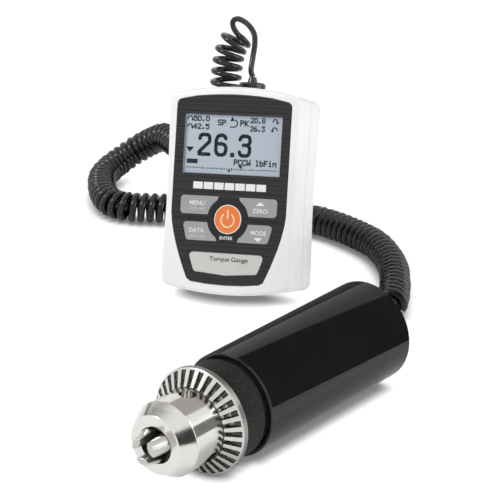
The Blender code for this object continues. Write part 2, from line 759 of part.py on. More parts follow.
def label_plate(carrier):
    bm = bmesh.new()
    prism(bm, plate_outline(), -OVERLAY_LOW, -OVERLAY_HIGH)
    solid("label_plate", bm, SILVER_FOIL, carrier)


def display(carrier):
    """A clear window in the overlay's opening, and behind it the display module with its raised glass."""
    window_low = OVERLAY_HIGH + WINDOW_THICK
    bm = bmesh.new()
    prism(bm, display_outline(), -window_low, -OVERLAY_HIGH)
    solid("display_window", bm, CLEAR_WINDOW, carrier)
    shoulder = WALL_INNER + CLEAR
    bm = bmesh.new()
    margin = DISPLAY_MODULE_MARGIN
    size = (DISPLAY_WIDTH + 2 * margin, DISPLAY_HEIGHT + 2 * margin, DISPLAY_MODULE_DEPTH)
    block(bm, (0, DISPLAY_CENTRE_Y, -shoulder - DISPLAY_MODULE_DEPTH / 2), size)
    front = max(bm.faces, key=lambda face: face.calc_center_median().z)
    bmesh.ops.inset_region(bm, faces=[front], thickness=margin, use_even_offset=True)
    raised = bmesh.ops.extrude_face_region(bm, geom=[front])["geom"]
    tops = [item for item in raised if isinstance(item, bmesh.types.BMVert)]
    bmesh.ops.delete(bm, geom=[front], context="FACES_ONLY")
    bmesh.ops.translate(bm, verts=tops, vec=(0, 0, shoulder - window_low - CLEAR))
    solid("display_module", bm, DISPLAY_GLASS, carrier)


def key(name, outline, finish, carrier):
    """A key cap with a flange behind the wall, on its own empty at the key's centre."""
    centre_x = sum(x for x, _ in outline) / len(outline)
    centre_y = sum(y for _, y in outline) / len(outline)
    own = empty(name + "_place", Matrix.Translation((centre_x, centre_y, 0)), carrier)
    local = [(x - centre_x, y - centre_y) for x, y in outline]
    flange = grown(local, KEY_FLANGE)
    eased = grown(local, -KEY_RISE / 2)
    levels = [
        (flange, -KEY_FLANGE_LOW),
        (flange, -KEY_FLANGE_TOP),
        (local, -KEY_FLANGE_TOP),
        (local, KEY_RISE / 2),
        (eased, KEY_RISE),
    ]
    bm = bmesh.new()
    loft(bm, [[(x, y, z) for x, y in ring] for ring, z in levels])
    solid(name, bm, finish, own)


def keys(carrier):
    for name, outline in key_outlines().items():
        key(name, outline, KEY_ORANGE if name == "key_power" else KEY_GREY, carrier)


def key_pad(carrier):
    """A silicone pad between the keys and the board."""
    half = KEY_OUTER_HALF
    high = POWER_KEY_Y + KEY_ROW_GAP / 2 + KEY_HEIGHT
    low = POWER_KEY_Y - KEY_ROW_GAP / 2 - KEY_HEIGHT
    sides = ((half, low), (half, high), (-half, high), (-half, low))
    corners = [(x, y, KEY_CORNER) for x, y in sides]
    bm = bmesh.new()
    prism(bm, rounded(corners), -BOARD_TOP_DEPTH + CLEAR, -PAD_TOP)
    solid("key_pad", bm, SILICONE, carrier)


def main_board(carrier):
    """The circuit board, with a tab on the left that carries the sockets."""
    tab_low = CHARGE_SOCKET_Y - SOCKET_LENGTH
    tab_high = DATA_SOCKET_Y + SOCKET_LENGTH
    half = BOARD_HALF_WIDTH
    tab = BOARD_TAB_HALF
    corners = [(half, BOARD_BOTTOM), (half, BOARD_TOP), (-half, BOARD_TOP), (-half, tab_high)]
    corners += [(-tab, tab_high), (-tab, tab_low), (-half, tab_low), (-half, BOARD_BOTTOM)]
    bm = bmesh.new()
    prism(bm, corners, -BOARD_LOW_DEPTH, -BOARD_TOP_DEPTH)
    solid("main_board", bm, BOARD_GREEN, carrier)


def battery_pack(carrier):
    bm = bmesh.new()
    half, low, high = BATTERY_WIDTH / 2, BATTERY_BOTTOM, BATTERY_BOTTOM + BATTERY_HEIGHT
    corner = BATTERY_THICK / 4
    corners = [(half, low, corner), (half, high, corner), (-half, high, corner), (-half, low, corner)]
    rear = REAR_INNER - CLEAR
    prism(bm, rounded(corners), -rear, -rear + BATTERY_THICK)
    solid("battery_pack", bm, BATTERY_WRAP, carrier)


def data_socket_size():
    """Centre depth and the half sizes of the data socket across its mouth."""
    depth = BOARD_LOW_DEPTH + CLEAR + DATA_SOCKET_HEIGHT / 2
    return depth, DATA_SOCKET_WIDTH / 2, DATA_SOCKET_HEIGHT / 2


def data_socket_space(bm):
    depth, half_y, half_z = data_socket_size()
    size = (4 * CASE_WALL, 2 * (half_y + CLEAR), 2 * (half_z + CLEAR))
    block(bm, (-CASE_WIDTH / 2, DATA_SOCKET_Y, -depth), size)


def data_socket(carrier):
    """A small rectangular socket: a mouth in its left end, with a tongue standing in it."""
    depth, half_y, half_z = data_socket_size()
    mouth = -case_half_width(DATA_SOCKET_Y, depth) + CLEAR
    centre = (mouth + SOCKET_LENGTH / 2, DATA_SOCKET_Y, -depth)
    bm = bmesh.new()
    block(bm, centre, (SOCKET_LENGTH, 2 * half_y, 2 * half_z))
    face = min(bm.faces, key=lambda item: item.calc_center_median().x)
    hollow = (SOCKET_WALL, SOCKET_HOLLOW_SHARE * SOCKET_LENGTH)
    tongue = (half_z * SOCKET_TONGUE_INSET, -SOCKET_TONGUE_SHARE * SOCKET_LENGTH)
    for thickness, push in (hollow, tongue):
        bmesh.ops.inset_region(bm, faces=[face], thickness=thickness, use_even_offset=True)
        pushed = bmesh.ops.extrude_face_region(bm, geom=[face])["geom"]
        bmesh.ops.delete(bm, geom=[face], context="FACES_ONLY")
        ends = [item for item in pushed if isinstance(item, bmesh.types.BMVert)]
        bmesh.ops.translate(bm, verts=ends, vec=(push, 0, 0))
        face = next(item for item in pushed if isinstance(item, bmesh.types.BMFace))
    solid("data_socket", bm, STEEL, carrier)


def charge_socket_depth():
    return BOARD_LOW_DEPTH + CLEAR + CHARGE_SOCKET_RADIUS


def charge_socket_space(bm):
    reach = 2 * CASE_WALL
    centre = (-CASE_WIDTH / 2, CHARGE_SOCKET_Y, -charge_socket_depth())
    start, end = (centre[0] - reach, *centre[1:]), (centre[0] + reach, *centre[1:])
    rod(bm, start, end, CHARGE_SOCKET_RADIUS + CLEAR)


def charge_socket(carrier):
    depth = charge_socket_depth()
    mouth = -case_half_width(CHARGE_SOCKET_Y, depth) + CLEAR
    own = empty("charge_socket_place", Matrix.Translation((mouth, CHARGE_SOCKET_Y, -depth)), carrier)
    hollow = CHARGE_HOLLOW_SHARE * SOCKET_LENGTH
    profile = [
        (SOCKET_WALL, 0),
        (SOCKET_WALL, CHARGE_PIN_RADIUS),
        (hollow, CHARGE_PIN_RADIUS),
        (hollow, CHARGE_BORE_RADIUS),
        (0, CHARGE_BORE_RADIUS),
        (0, CHARGE_SOCKET_RADIUS),
        (SOCKET_LENGTH, CHARGE_SOCKET_RADIUS),
        (SOCKET_LENGTH, 0),
    ]
    turned("charge_socket", profile, BLACK_PLASTIC, own, SMALL_STEPS)


def housing_screws(carrier):
    """Four screws from the rear, sunk in the rear shell and biting into the front one."""
    head_top = CASE_DEPTH - CLEAR
    head_low = head_top - SCREW_HEAD_HEIGHT
    tip = FRONT_SHELL_DEPTH - SCREW_BITE
    for number, (x, y) in enumerate(SCREW_PLACES, 1):
        turn = Matrix.Rotation(math.pi / 2, 4, "Y")
        own = empty(f"housing_screw_{number}_place", Matrix.Translation((x, y, 0)) @ turn, carrier)
        profile = [
            (tip, 0),
            (tip, SCREW_RADIUS * SCREW_TIP_SHARE),
            (tip + SCREW_RADIUS, SCREW_RADIUS),
            (head_low, SCREW_RADIUS),
            (head_low, SCREW_HEAD_RADIUS),
            (head_top - SCREW_HEAD_HEIGHT / 4, SCREW_HEAD_RADIUS),
            (head_top, SCREW_HEAD_RADIUS * SCREW_CROWN_SHARE),
            (head_top, 0),
        ]
        turned(f"housing_screw_{number}", profile, STEEL, own, SMALL_STEPS)


def gland_base():
    """Height up the case at which the gland's collar sits, clear of the sloping top."""
    return CASE_HEIGHT - CASE_DRAFT * (GLAND_DEPTH - GLAND_RADIUS) + CLEAR


def gland_tip():
    return gland_base() + GLAND_HEIGHT + GLAND_NECK_HEIGHT


def cord_gland(carrier):
    """A threaded gland through the top wall, with its nut inside. The cord leaves through its neck."""
    turn = Matrix.Rotation(math.pi / 2, 4, "Z")
    own = empty("cord_gland_place", Matrix.Translation((0, 0, -GLAND_DEPTH)) @ turn, carrier)
    base, tip = gland_base(), gland_tip()
    inner_wall = CASE_HEIGHT - CASE_DRAFT * (GLAND_DEPTH + GLAND_RADIUS) - CASE_WALL - CLEAR
    wall_slack = CASE_END_RADIUS - math.sqrt(CASE_END_RADIUS**2 - GLAND_NUT_RADIUS**2)
    nut_top = inner_wall - wall_slack
    thread_low = nut_top - GLAND_NUT_HEIGHT - CLEAR
    round_edge = GLAND_HEIGHT / 4
    profile = [
        (thread_low, 0),
        (thread_low, GLAND_THREAD_RADIUS),
        (base, GLAND_THREAD_RADIUS),
        (base, GLAND_RADIUS),
        (base + GLAND_HEIGHT - round_edge, GLAND_RADIUS),
        (base + GLAND_HEIGHT, GLAND_RADIUS - round_edge),
        (base + GLAND_HEIGHT, GLAND_NECK_RADIUS),
        (tip, GLAND_NECK_RADIUS * GLAND_NECK_TAPER),
        (tip, 0),
    ]
    turned("cord_gland", profile, BLACK_PLASTIC, own, INNER_STEPS)
    bm = bmesh.new()
    rod(bm, (nut_top - GLAND_NUT_HEIGHT, 0, 0), (nut_top, 0, 0), GLAND_NUT_RADIUS, 6)
    nut = solid("gland_nut", bm, BLACK_PLASTIC, own)
    bm = bmesh.new()
    rod(bm, (thread_low, 0, 0), (base, 0, 0), GLAND_THREAD_RADIUS + 2 * CLEAR)
    cut(nut, cutter("gland_nut_bore", bm, own))


def handle_tube(axis):
    edge = HANDLE_EDGE
    profile = [
        (0, HANDLE_BORE),
        (0, HANDLE_RADIUS - edge),
        (edge, HANDLE_RADIUS),
        (HANDLE_LENGTH - edge, HANDLE_RADIUS),
        (HANDLE_LENGTH, HANDLE_RADIUS - edge),
        (HANDLE_LENGTH, HANDLE_BORE),
    ]
    turned("handle_tube", profile, BLACK_ANODISED, axis, FINE_STEPS)


def front_plate(axis):
    """Closes the front of the handle and seats the bearing."""
    lip_end = CLEAR + FRONT_LIP
    end = BEARING_END + CLEAR
    seat = BEARING_RADIUS + CLEAR
    profile = [
        (CLEAR, SHAFT_RADIUS + FRONT_LIP),
        (CLEAR, BORE_FIT),
        (end, BORE_FIT),
        (end, seat),
        (lip_end, seat),
        (lip_end, SHAFT_RADIUS + FRONT_LIP),
    ]
    turned("front_plate", profile, BLACK_PLASTIC, axis, INNER_STEPS)


def front_bearing(axis):
    inner, outer = SHAFT_RADIUS + CLEAR, BEARING_RADIUS
    race = (outer - inner) * BEARING_RACE_SHARE
    low, high = inner + race, outer - race
    dish = BEARING_WIDTH / 14
    start, end = BEARING_START, BEARING_END
    profile = [(start, inner), (start, low), (start + dish, low), (start + dish, high), (start, high)]
    profile += [(start, outer), (end, outer), (end, high), (end - dish, high), (end - dish, low)]
    profile += [(end, low), (end, inner)]
    turned("front_bearing", profile, STEEL, axis, INNER_STEPS)


def seal_ring(axis):
    """The dark ring in the groove between the handle and the collar."""
    profile = ring_profile(-SEAL_WIDTH, 0, SHAFT_RADIUS + CLEAR, SEAL_RADIUS)
    turned("seal_ring", profile, RUBBER, axis)


def front_collar(axis):
    """A cup in front of the handle, whose hollow gives the jaws' tails room."""
    inner = COLLAR_RADIUS - COLLAR_WALL
    edge = COLLAR_WALL / 3
    profile = [
        (-COLLAR_FRONT, inner),
        (-COLLAR_FRONT, COLLAR_RADIUS - edge),
        (-COLLAR_FRONT + edge, COLLAR_RADIUS),
        (-COLLAR_REAR - edge, COLLAR_RADIUS),
        (-COLLAR_REAR, COLLAR_RADIUS - edge),
        (-COLLAR_REAR, SHAFT_RADIUS + CLEAR),
        (-WEB_FRONT, SHAFT_RADIUS + CLEAR),
        (-WEB_FRONT, inner),
    ]
    turned("front_collar", profile, GREY_COATING, axis)


def torque_shaft(axis):
    """The measuring shaft: a nose for the chuck, a bearing seat, a thin neck, and an end flange."""
    fillet = (SHAFT_RADIUS - NECK_RADIUS) / 2
    profile = [
        (-SPINDLE_NOSE_FRONT, 0),
        (-SPINDLE_NOSE_FRONT, SPINDLE_NOSE_RADIUS * (1 - SPINDLE_NOSE_EASE)),
        (-SPINDLE_NOSE_FRONT + SPINDLE_NOSE_RADIUS * SPINDLE_NOSE_EASE, SPINDLE_NOSE_RADIUS),
        (-WEB_FRONT, SPINDLE_NOSE_RADIUS),
        (-WEB_FRONT, SHAFT_RADIUS),
        (NECK_START - 2 * fillet, SHAFT_RADIUS),
        (NECK_START, NECK_RADIUS),
        (FLANGE_START - 2 * fillet, NECK_RADIUS),
        (FLANGE_START, SHAFT_RADIUS),
        (FLANGE_START, FLANGE_RADIUS),
        (FLANGE_END, FLANGE_RADIUS),
        (FLANGE_END, 0),
    ]
    turned("torque_shaft", profile, STEEL, axis, INNER_STEPS)


def anchor_ring(axis):
    """Holds the shaft's flange still in the handle, with three pillars for the amplifier board."""
    floor = FLANGE_END + CLEAR
    seat = FLANGE_RADIUS + CLEAR
    profile = [
        (FLANGE_START, seat),
        (FLANGE_START, BORE_FIT),
        (ANCHOR_END, BORE_FIT),
        (ANCHOR_END, SHAFT_RADIUS),
        (floor, SHAFT_RADIUS),
        (floor, seat),
    ]
    ring = turned("anchor_ring", profile, STEEL, axis, INNER_STEPS)
    bm = bmesh.new()
    reach = (SHAFT_RADIUS + BORE_FIT) / 2
    for turn in range(3):
        y, z = polar(reach, math.tau * turn / 3)
        rod(bm, ((floor + ANCHOR_END) / 2, y, z), (PILLAR_END, y, z), PILLAR_RADIUS, SMALL_STEPS)
    add(ring, cutter("anchor_pillars", bm, axis))


def sensor_board(axis):
    start = PILLAR_END + CLEAR
    profile = ring_profile(start, start + BOARD_THICK, SHAFT_RADIUS / 2, SENSOR_BOARD_RADIUS)
    turned("sensor_board", profile, BOARD_GREEN, axis, INNER_STEPS)


def rear_cap(axis):
    """Closes the rear of the handle, with two holes for a face spanner."""
    end = HANDLE_LENGTH - CLEAR
    profile = ring_profile(end - REAR_CAP_THICK, end, RELIEF_RADIUS + CLEAR, BORE_FIT)
    cap = turned("rear_cap", profile, BLACK_ANODISED, axis)
    bm = bmesh.new()
    reach = (RELIEF_RADIUS + BORE_FIT) / 2
    for turn in SPANNER_HOLE_TURNS:
        y, z = polar(reach, math.tau * turn)
        floor = end - REAR_CAP_THICK / 2
        rod(bm, (floor, y, z), (end + CLEAR * 4, y, z), SPANNER_HOLE_RADIUS, SMALL_STEPS)
    cut(cap, cutter("spanner_holes", bm, axis))


def cord_relief(axis):
    """A tapered sleeve with grooves round it, held behind the rear cap by its shoulder."""
    inner = HANDLE_LENGTH - CLEAR - REAR_CAP_THICK
    shoulder = inner - CLEAR
    tip = HANDLE_LENGTH + RELIEF_LENGTH
    profile = [
        (shoulder - CASE_WALL, 0),
        (shoulder - CASE_WALL, RELIEF_RADIUS * RELIEF_SHOULDER_SHARE),
        (shoulder, RELIEF_RADIUS * RELIEF_SHOULDER_SHARE),
        (shoulder, RELIEF_RADIUS),
    ]
    pitch = RELIEF_LENGTH * RELIEF_GROOVED_SHARE / RELIEF_GROOVES
    for number in range(RELIEF_GROOVES):
        start = HANDLE_LENGTH + RELIEF_LENGTH * RELIEF_FIRST_SHARE + pitch * number
        groove_end = start + pitch * RELIEF_GROOVE_SHARE
        slope = (RELIEF_RADIUS - RELIEF_TIP_RADIUS) / RELIEF_LENGTH
        outer = RELIEF_RADIUS - slope * (start - HANDLE_LENGTH)
        outer_end = outer - slope * pitch * RELIEF_GROOVE_SHARE
        floor = outer * RELIEF_GROOVE_SINK
        profile += [(start, outer), (start, floor), (groove_end, floor), (groove_end, outer_end)]
    profile += [(tip, RELIEF_TIP_RADIUS), (tip, 0)]
    turned("cord_relief", profile, RUBBER, axis, INNER_STEPS)


def jaw_line(forward):
    """How far a jaw's axis lies from the chuck's axis, at a place forward of the handle."""
    return JAW_RADIUS_AT_NOSE + (CHUCK_NOSE - forward) * math.tan(JAW_TILT)


def jaw_angle(number):
    return CHUCK_TURN + math.tau * (number + 0.5) / JAW_COUNT


def jaw_point(forward, angle):
    y, z = polar(jaw_line(forward), angle)
    return (-forward, y, z)


def chuck_body(axis):
    """The chuck's body: inclined bores for the jaws, holes for the key's pilot, and a hub at the rear."""
    profile = [
        (-CHUCK_NOSE, MOUTH_RADIUS),
        (-CHUCK_NOSE, NOSE_RADIUS),
        (-CONE_START, BODY_RADIUS),
        (-SLEEVE_FRONT, BODY_REAR_RADIUS),
        (-BODY_SHOULDER, BODY_REAR_RADIUS),
        (-BODY_SHOULDER, BODY_NUT_RADIUS),
        (-BODY_REAR, BODY_NUT_RADIUS),
        (-BODY_REAR, HUB_RADIUS),
        (-HUB_REAR, HUB_RADIUS),
        (-HUB_REAR, SPINDLE_NOSE_RADIUS + CLEAR),
        (-SPINDLE_NOSE_FRONT - CLEAR, SPINDLE_NOSE_RADIUS + CLEAR),
        (-SPINDLE_NOSE_FRONT - CLEAR, 0),
        (-BODY_SHOULDER, 0),
        (-BODY_SHOULDER, WORK_BORE_RADIUS),
        (-CHUCK_NOSE + MOUTH_DEPTH, WORK_BORE_RADIUS),
        (-CHUCK_NOSE + MOUTH_DEPTH, MOUTH_RADIUS - MOUTH_DEPTH * MOUTH_TAPER),
    ]
    body = turned("chuck_body", profile, BRIGHT_STEEL, axis)
    bm = bmesh.new()
    for number in range(JAW_COUNT):
        angle = jaw_angle(number)
        start = jaw_point(CHUCK_NOSE + JAW_RADIUS * 2, angle)
        end = jaw_point(BODY_REAR - JAW_RADIUS * 2, angle)
        rod(bm, start, end, JAW_RADIUS + CLEAR)
        cut(body, cutter(f"jaw_bore_{number + 1}", bm, axis))
        bm = bmesh.new()
    for number in range(JAW_COUNT):
        angle = CHUCK_TURN + math.tau * number / JAW_COUNT
        start = (-KEY_HOLE_PLACE, *polar(BODY_RADIUS - KEY_HOLE_DEPTH, angle))
        end = (-KEY_HOLE_PLACE, *polar(BODY_RADIUS * 1.2, angle))
        rod(bm, start, end, KEY_HOLE_RADIUS)
    cut(body, cutter("key_holes", bm, axis))


def sleeve_front(radius):
    """Where the sleeve's sloping front lies at a radius."""
    share = (radius - BODY_REAR_RADIUS) / (RIM_RADIUS - BODY_REAR_RADIUS)
    return SLEEVE_FRONT + (RIM_FRONT - SLEEVE_FRONT) * share


def sleeve_section(sink):
    """Half a section of the sleeve, with the tooth face sunk by this much at its inner end."""
    bore = BODY_REAR_RADIUS + CLEAR
    seat = NUT_RADIUS + CLEAR
    rim_rear = RIM_FRONT - RIM_WIDTH
    return [
        (-SLEEVE_REAR, seat),
        (-BODY_SHOULDER, seat),
        (-BODY_SHOULDER, bore),
        (-sleeve_front(bore) + sink, bore),
        (-sleeve_front(TOOTH_END_RADIUS) + sink * TOOTH_OUTER_SINK, TOOTH_END_RADIUS),
        (-RIM_FRONT, RIM_RADIUS),
        (-rim_rear, RIM_RADIUS),
        (-rim_rear, SLEEVE_BARREL_RADIUS),
        (-SLEEVE_REAR, SLEEVE_BARREL_RADIUS),
    ]


def chuck_sleeve(axis):
    """The toothed sleeve: radial teeth on its sloping front, for the chuck key's pinion."""
    stations = []
    pitch = math.tau / TOOTH_COUNT
    for tooth in range(TOOTH_COUNT):
        for share, sunk in TOOTH_STATIONS:
            stations.append((pitch * (tooth + share), TOOTH_DEPTH * sunk))
    bm = bmesh.new()
    rings = []
    for angle, sink in stations:
        points = []
        for x, radius in sleeve_section(sink):
            y, z = polar(radius, angle)
            points.append(bm.verts.new((x, y, z)))
        rings.append(points)
    for ring, following in zip(rings, rings[1:] + rings[:1]):
        for i in range(len(ring)):
            j = (i + 1) % len(ring)
            bm.faces.new((ring[i], ring[j], following[j], following[i]))
    solid("chuck_sleeve", bm, BRIGHT_STEEL, axis)


def chuck_nut(axis):
    """The nut that drives the jaws, pressed into the sleeve. Its bore follows the slope of the jaws."""
    def bore(forward):
        return jaw_line(forward) + JAW_RADIUS / math.cos(JAW_TILT) + CLEAR

    front, rear = NUT_FRONT, NUT_FRONT - NUT_WIDTH
    profile = [(-front, bore(front)), (-front, NUT_RADIUS), (-rear, NUT_RADIUS), (-rear, bore(rear))]
    turned("chuck_nut", profile, STEEL, axis, INNER_STEPS)


def jaw(number, axis):
    """A round jaw on its inclined line, with a flat tip and two grip faces that meet in a narrow land."""
    angle = jaw_angle(number)
    tip = CHUCK_NOSE + JAW_REACH
    tail = tip - JAW_LENGTH * math.cos(JAW_TILT)
    own = empty(f"jaw_{number + 1}_line", Matrix.Translation(jaw_point(tip, angle)), axis)
    offset = Vector(jaw_point(tip, angle))

    def local(point):
        return Vector(point) - offset

    bm = bmesh.new()
    ahead = local(jaw_point(tip + JAW_RADIUS, angle))
    rod(bm, ahead, local(jaw_point(tail, angle)), JAW_RADIUS)
    made = solid(f"jaw_{number + 1}", bm, BRIGHT_STEEL, own)
    bm = bmesh.new()
    far = JAW_LENGTH
    flat = JAW_RADIUS * 3
    slope = math.tan(math.pi / 2 - math.pi / JAW_COUNT)
    height = JAW_OPENING + (flat - JAW_LAND) * slope
    outline = [(-flat, -flat), (flat, -flat), (flat, height), (JAW_LAND, JAW_OPENING)]
    outline += [(-JAW_LAND, JAW_OPENING), (-flat, height)]
    prism(bm, outline, -far, far)
    turn = Matrix.Rotation(-angle, 4, "X") @ Matrix(((0, 0, 1, 0), (1, 0, 0, 0), (0, 1, 0, 0), (0, 0, 0, 1)))
    bmesh.ops.transform(bm, matrix=Matrix.Translation((0, -offset.y, -offset.z)) @ turn, verts=bm.verts)
    cut(made, cutter(f"jaw_{number + 1}_grip", bm, own))
    bm = bmesh.new()
    block(bm, (-flat, 0, 0), (2 * flat, 2 * flat, 2 * flat))
    cut(made, cutter(f"jaw_{number + 1}_tip", bm, own))


def smooth_route(points, step):
    """Points about a step apart along a smooth curve through the route's own points."""
    points = [Vector(point) for point in points]
    ends = [2 * points[0] - points[1], *points, 2 * points[-1] - points[-2]]
    fine = []
    for a, b, c, d in zip(ends, ends[1:], ends[2:], ends[3:]):
        for i in range(20):
            t = i / 20
            bend, twist = 2 * a - 5 * b + 4 * c - d, 3 * b - a - 3 * c + d
            fine.append(0.5 * (2 * b + (c - a) * t + bend * t**2 + twist * t**3))
    fine.append(points[-1])
    lengths = [0.0]
    for a, b in zip(fine, fine[1:]):
        lengths.append(lengths[-1] + (b - a).length)
    count = max(round(lengths[-1] / step), 2)
    spaced = []
    k = 0
    for i in range(count + 1):
        along = lengths[-1] * i / count
        while k < len(fine) - 2 and lengths[k + 1] < along:
            k += 1
        share = (along - lengths[k]) / max(lengths[k + 1] - lengths[k], 1e-9)
        spaced.append(fine[k].lerp(fine[k + 1], min(share, 1)))
    return spaced


def tube(name, points, radius):
    """A cord's stretch: a round tube along its points, with closed ends."""
    data = bpy.data.curves.new(name, "CURVE")
    data.dimensions = "3D"
    data.bevel_depth = radius
    data.bevel_resolution = 2
    data.use_fill_caps = True
    spline = data.splines.new("POLY")
    spline.points.add(len(points) - 1)
    for target, point in zip(spline.points, points):
        target.co = (*point, 1)
    data.materials.append(CORD_JACKET)
    made = bpy.data.objects.new(name, data)
    bpy.context.scene.collection.objects.link(made)


def cord(indicator_place):
    """The cord: a tail from the gland, the curly stretch as one fat tube, and a tail into the relief."""
    leave = indicator_place @ Vector((0, gland_tip() + CLEAR, -GLAND_DEPTH))
    enter = Vector((SENSOR_X + HANDLE_LENGTH + RELIEF_LENGTH + CLEAR, SENSOR_Y, SENSOR_HEIGHT))
    curl = smooth_route(CURL_ROUTE, CURL_STEP)
    tube("cord_curl", curl, CURL_DIAMETER / 2)
    first = curl[0] + (curl[0] - curl[1]).normalized() * 2 * CLEAR
    last = curl[-1] + (curl[-1] - curl[-2]).normalized() * 2 * CLEAR
    near = smooth_route([leave, *INDICATOR_TAIL, first], TAIL_STEP)
    far = smooth_route([last, *HANDLE_TAIL, enter], TAIL_STEP)
    tube("cord_tail_indicator", near, CORD_DIAMETER / 2)
    tube("cord_tail_sensor", far, CORD_DIAMETER / 2)


def indicator():
    place = (
        Matrix.Translation((INDICATOR_X, INDICATOR_Y, INDICATOR_LIFT))
        @ Matrix.Rotation(INDICATOR_YAW, 4, "Z")
        @ Matrix.Rotation(math.pi / 2 - INDICATOR_RECLINE, 4, "X")
        @ Matrix.Rotation(INDICATOR_TILT, 4, "Z")
    )
    carrier = empty("indicator_place", place)
    front_housing(carrier)
    rear_housing(carrier)
    face_overlay(carrier)
    label_plate(carrier)
    display(carrier)
    keys(carrier)
    key_pad(carrier)
    main_board(carrier)
    battery_pack(carrier)
    data_socket(carrier)
    charge_socket(carrier)
    housing_screws(carrier)
    cord_gland(carrier)
    return place


def sensor():
    axis = empty("sensor_axis", Matrix.Translation((SENSOR_X, SENSOR_Y, SENSOR_HEIGHT)))
    handle_tube(axis)
    front_plate(axis)
    front_bearing(axis)
    seal_ring(axis)
    front_collar(axis)
    torque_shaft(axis)
    anchor_ring(axis)
    sensor_board(axis)
    rear_cap(axis)
    cord_relief(axis)
    chuck_body(axis)
    chuck_sleeve(axis)
    chuck_nut(axis)
    for number in range(JAW_COUNT):
        jaw(number, axis)


def main():
    place = indicator()
    sensor()
    cord(place)


main()
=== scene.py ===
"""Looks of the torque gauge: finishes, curly cord, display and fine shapes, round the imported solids.

Places and sizes are in metres, in the solids' own frame: +Z is up, and +X runs along the sensor to its cord.
Places on the indicator's face are in the face's own frame: x to the right, y up, and z out of the face.
"""

import math

import bmesh
import bpy
from mathutils import Matrix, Vector


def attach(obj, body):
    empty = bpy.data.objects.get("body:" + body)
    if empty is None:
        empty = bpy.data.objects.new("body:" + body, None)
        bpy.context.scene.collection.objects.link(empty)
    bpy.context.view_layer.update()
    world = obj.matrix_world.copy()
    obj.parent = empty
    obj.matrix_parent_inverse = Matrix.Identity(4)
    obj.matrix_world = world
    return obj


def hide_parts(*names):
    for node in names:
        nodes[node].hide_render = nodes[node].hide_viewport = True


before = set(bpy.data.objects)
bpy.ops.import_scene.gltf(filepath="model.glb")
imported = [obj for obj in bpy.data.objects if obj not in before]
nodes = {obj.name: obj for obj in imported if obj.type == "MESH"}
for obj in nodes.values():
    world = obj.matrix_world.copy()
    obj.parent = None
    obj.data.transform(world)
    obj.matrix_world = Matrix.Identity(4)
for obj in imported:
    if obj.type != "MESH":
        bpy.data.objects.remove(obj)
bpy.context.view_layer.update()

# Camera
CAMERA_PLACE = (-0.89295, -0.71648, 0.5292)
CAMERA_HEADING = math.radians(37.69)
CAMERA_PITCH = math.radians(22.16)
CAMERA_ROLL = math.radians(0.53)
CAMERA_LENS = 184.14
FILM_WIDTH = 36.0

# Indicator: the place and turns of its face
INDICATOR_PLACE = (0.05725, 0.03472, 0.01041)
INDICATOR_YAW = math.radians(-76.59)
INDICATOR_RECLINE = math.radians(20.77)
INDICATOR_TILT = math.radians(6.06)
FACE = (
    Matrix.Translation(INDICATOR_PLACE)
    @ Matrix.Rotation(INDICATOR_YAW, 4, "Z")
    @ Matrix.Rotation(math.pi / 2 - INDICATOR_RECLINE, 4, "X")
    @ Matrix.Rotation(INDICATOR_TILT, 4, "Z")
)

# Heights over the face
PRINT_THICK = 0.00006
FILM_TOP = -0.00005
KEY_TOP = 0.00035
PLATE_TOP = -0.00001
INK_LOW = -0.00104

# Display: its opening, and what it shows
DISPLAY_CENTRE = (0.0, 0.0777)
DISPLAY_WIDTH = 0.0538
DISPLAY_HEIGHT = 0.0305
SHADED_LEFT = 0.0016
SHADED_TOP = 0.0018
SHADED_LEVEL = 0.55
LETTERS_TALL = 0.0029
FIGURES_TALL = 0.0027
LEFT_COLUMN = (-0.0228, -0.0140)
RIGHT_COLUMN = (0.0091, 0.0172)
# Each row of dots: its words, its left and right ends, its foot and its height
DOT_ROWS = [
    ("50.0", *LEFT_COLUMN, 0.0893, FIGURES_TALL),
    ("42.5", *LEFT_COLUMN, 0.0852, FIGURES_TALL),
    ("SP", -0.0092, -0.0047, 0.0875, LETTERS_TALL),
    ("PK", 0.0034, 0.0080, 0.0875, LETTERS_TALL),
    ("20.8", *RIGHT_COLUMN, 0.0893, FIGURES_TALL),
    ("26.3", *RIGHT_COLUMN, 0.0850, FIGURES_TALL),
    ("PCCW lbFin", 0.0010, 0.0246, 0.0672, 0.0030),
]
# How far a dot reaches, in widths of its own cell
DOT_REACH = 1.55
DOT_ROWS_TALL = 7
DOT_COLUMNS = 5
# The large figures, each with its left edge
READING = (("2", -0.0197), ("6", -0.0104), ("3", 0.0029))
READING_FOOT = 0.0714
READING_SIZE = (0.0075, 0.0120)
READING_STROKE = 0.0019
POINT_BOX = (-0.0012, READING_FOOT, 0.0011, 0.0737)
# The bent arrows beside the small figures: their centres, and which way they turn
TURN_ARROWS = [
    ((-0.0247, 0.0906), True),
    ((-0.0247, 0.0865), True),
    ((0.0228, 0.0905), True),
    ((0.0228, 0.0863), False),
]
TURN_ARROW_RADIUS = 0.0015
TURN_ARROW_BOW = (math.radians(200), math.radians(-20))
# In shares of its radius: the bow's inner side, then the head's place out and down, half width and length
TURN_ARROW_INNER = 0.58
TURN_ARROW_HEAD = (0.9, 0.1, 0.62, 0.9)
# The bent arrow between the letters: its bow, its foot, and its head as centre, half width and height
BOW_CENTRE = (0.0, 0.0888)
BOW_RADII = (0.0016, 0.0022)
BOW_TURN = (math.radians(-95), math.radians(80))
BOW_FOOT = (-0.0022, 0.0866, 0.0, 0.0872)
BOW_HEAD = ((-0.0010, 0.0900), 0.0013, 0.0022)
SIDE_MARK = ((-0.0241, 0.0759), 0.0023, -0.0027)
CHARGE_MARK = (-0.0254, 0.0674, -0.0193, 0.0697)
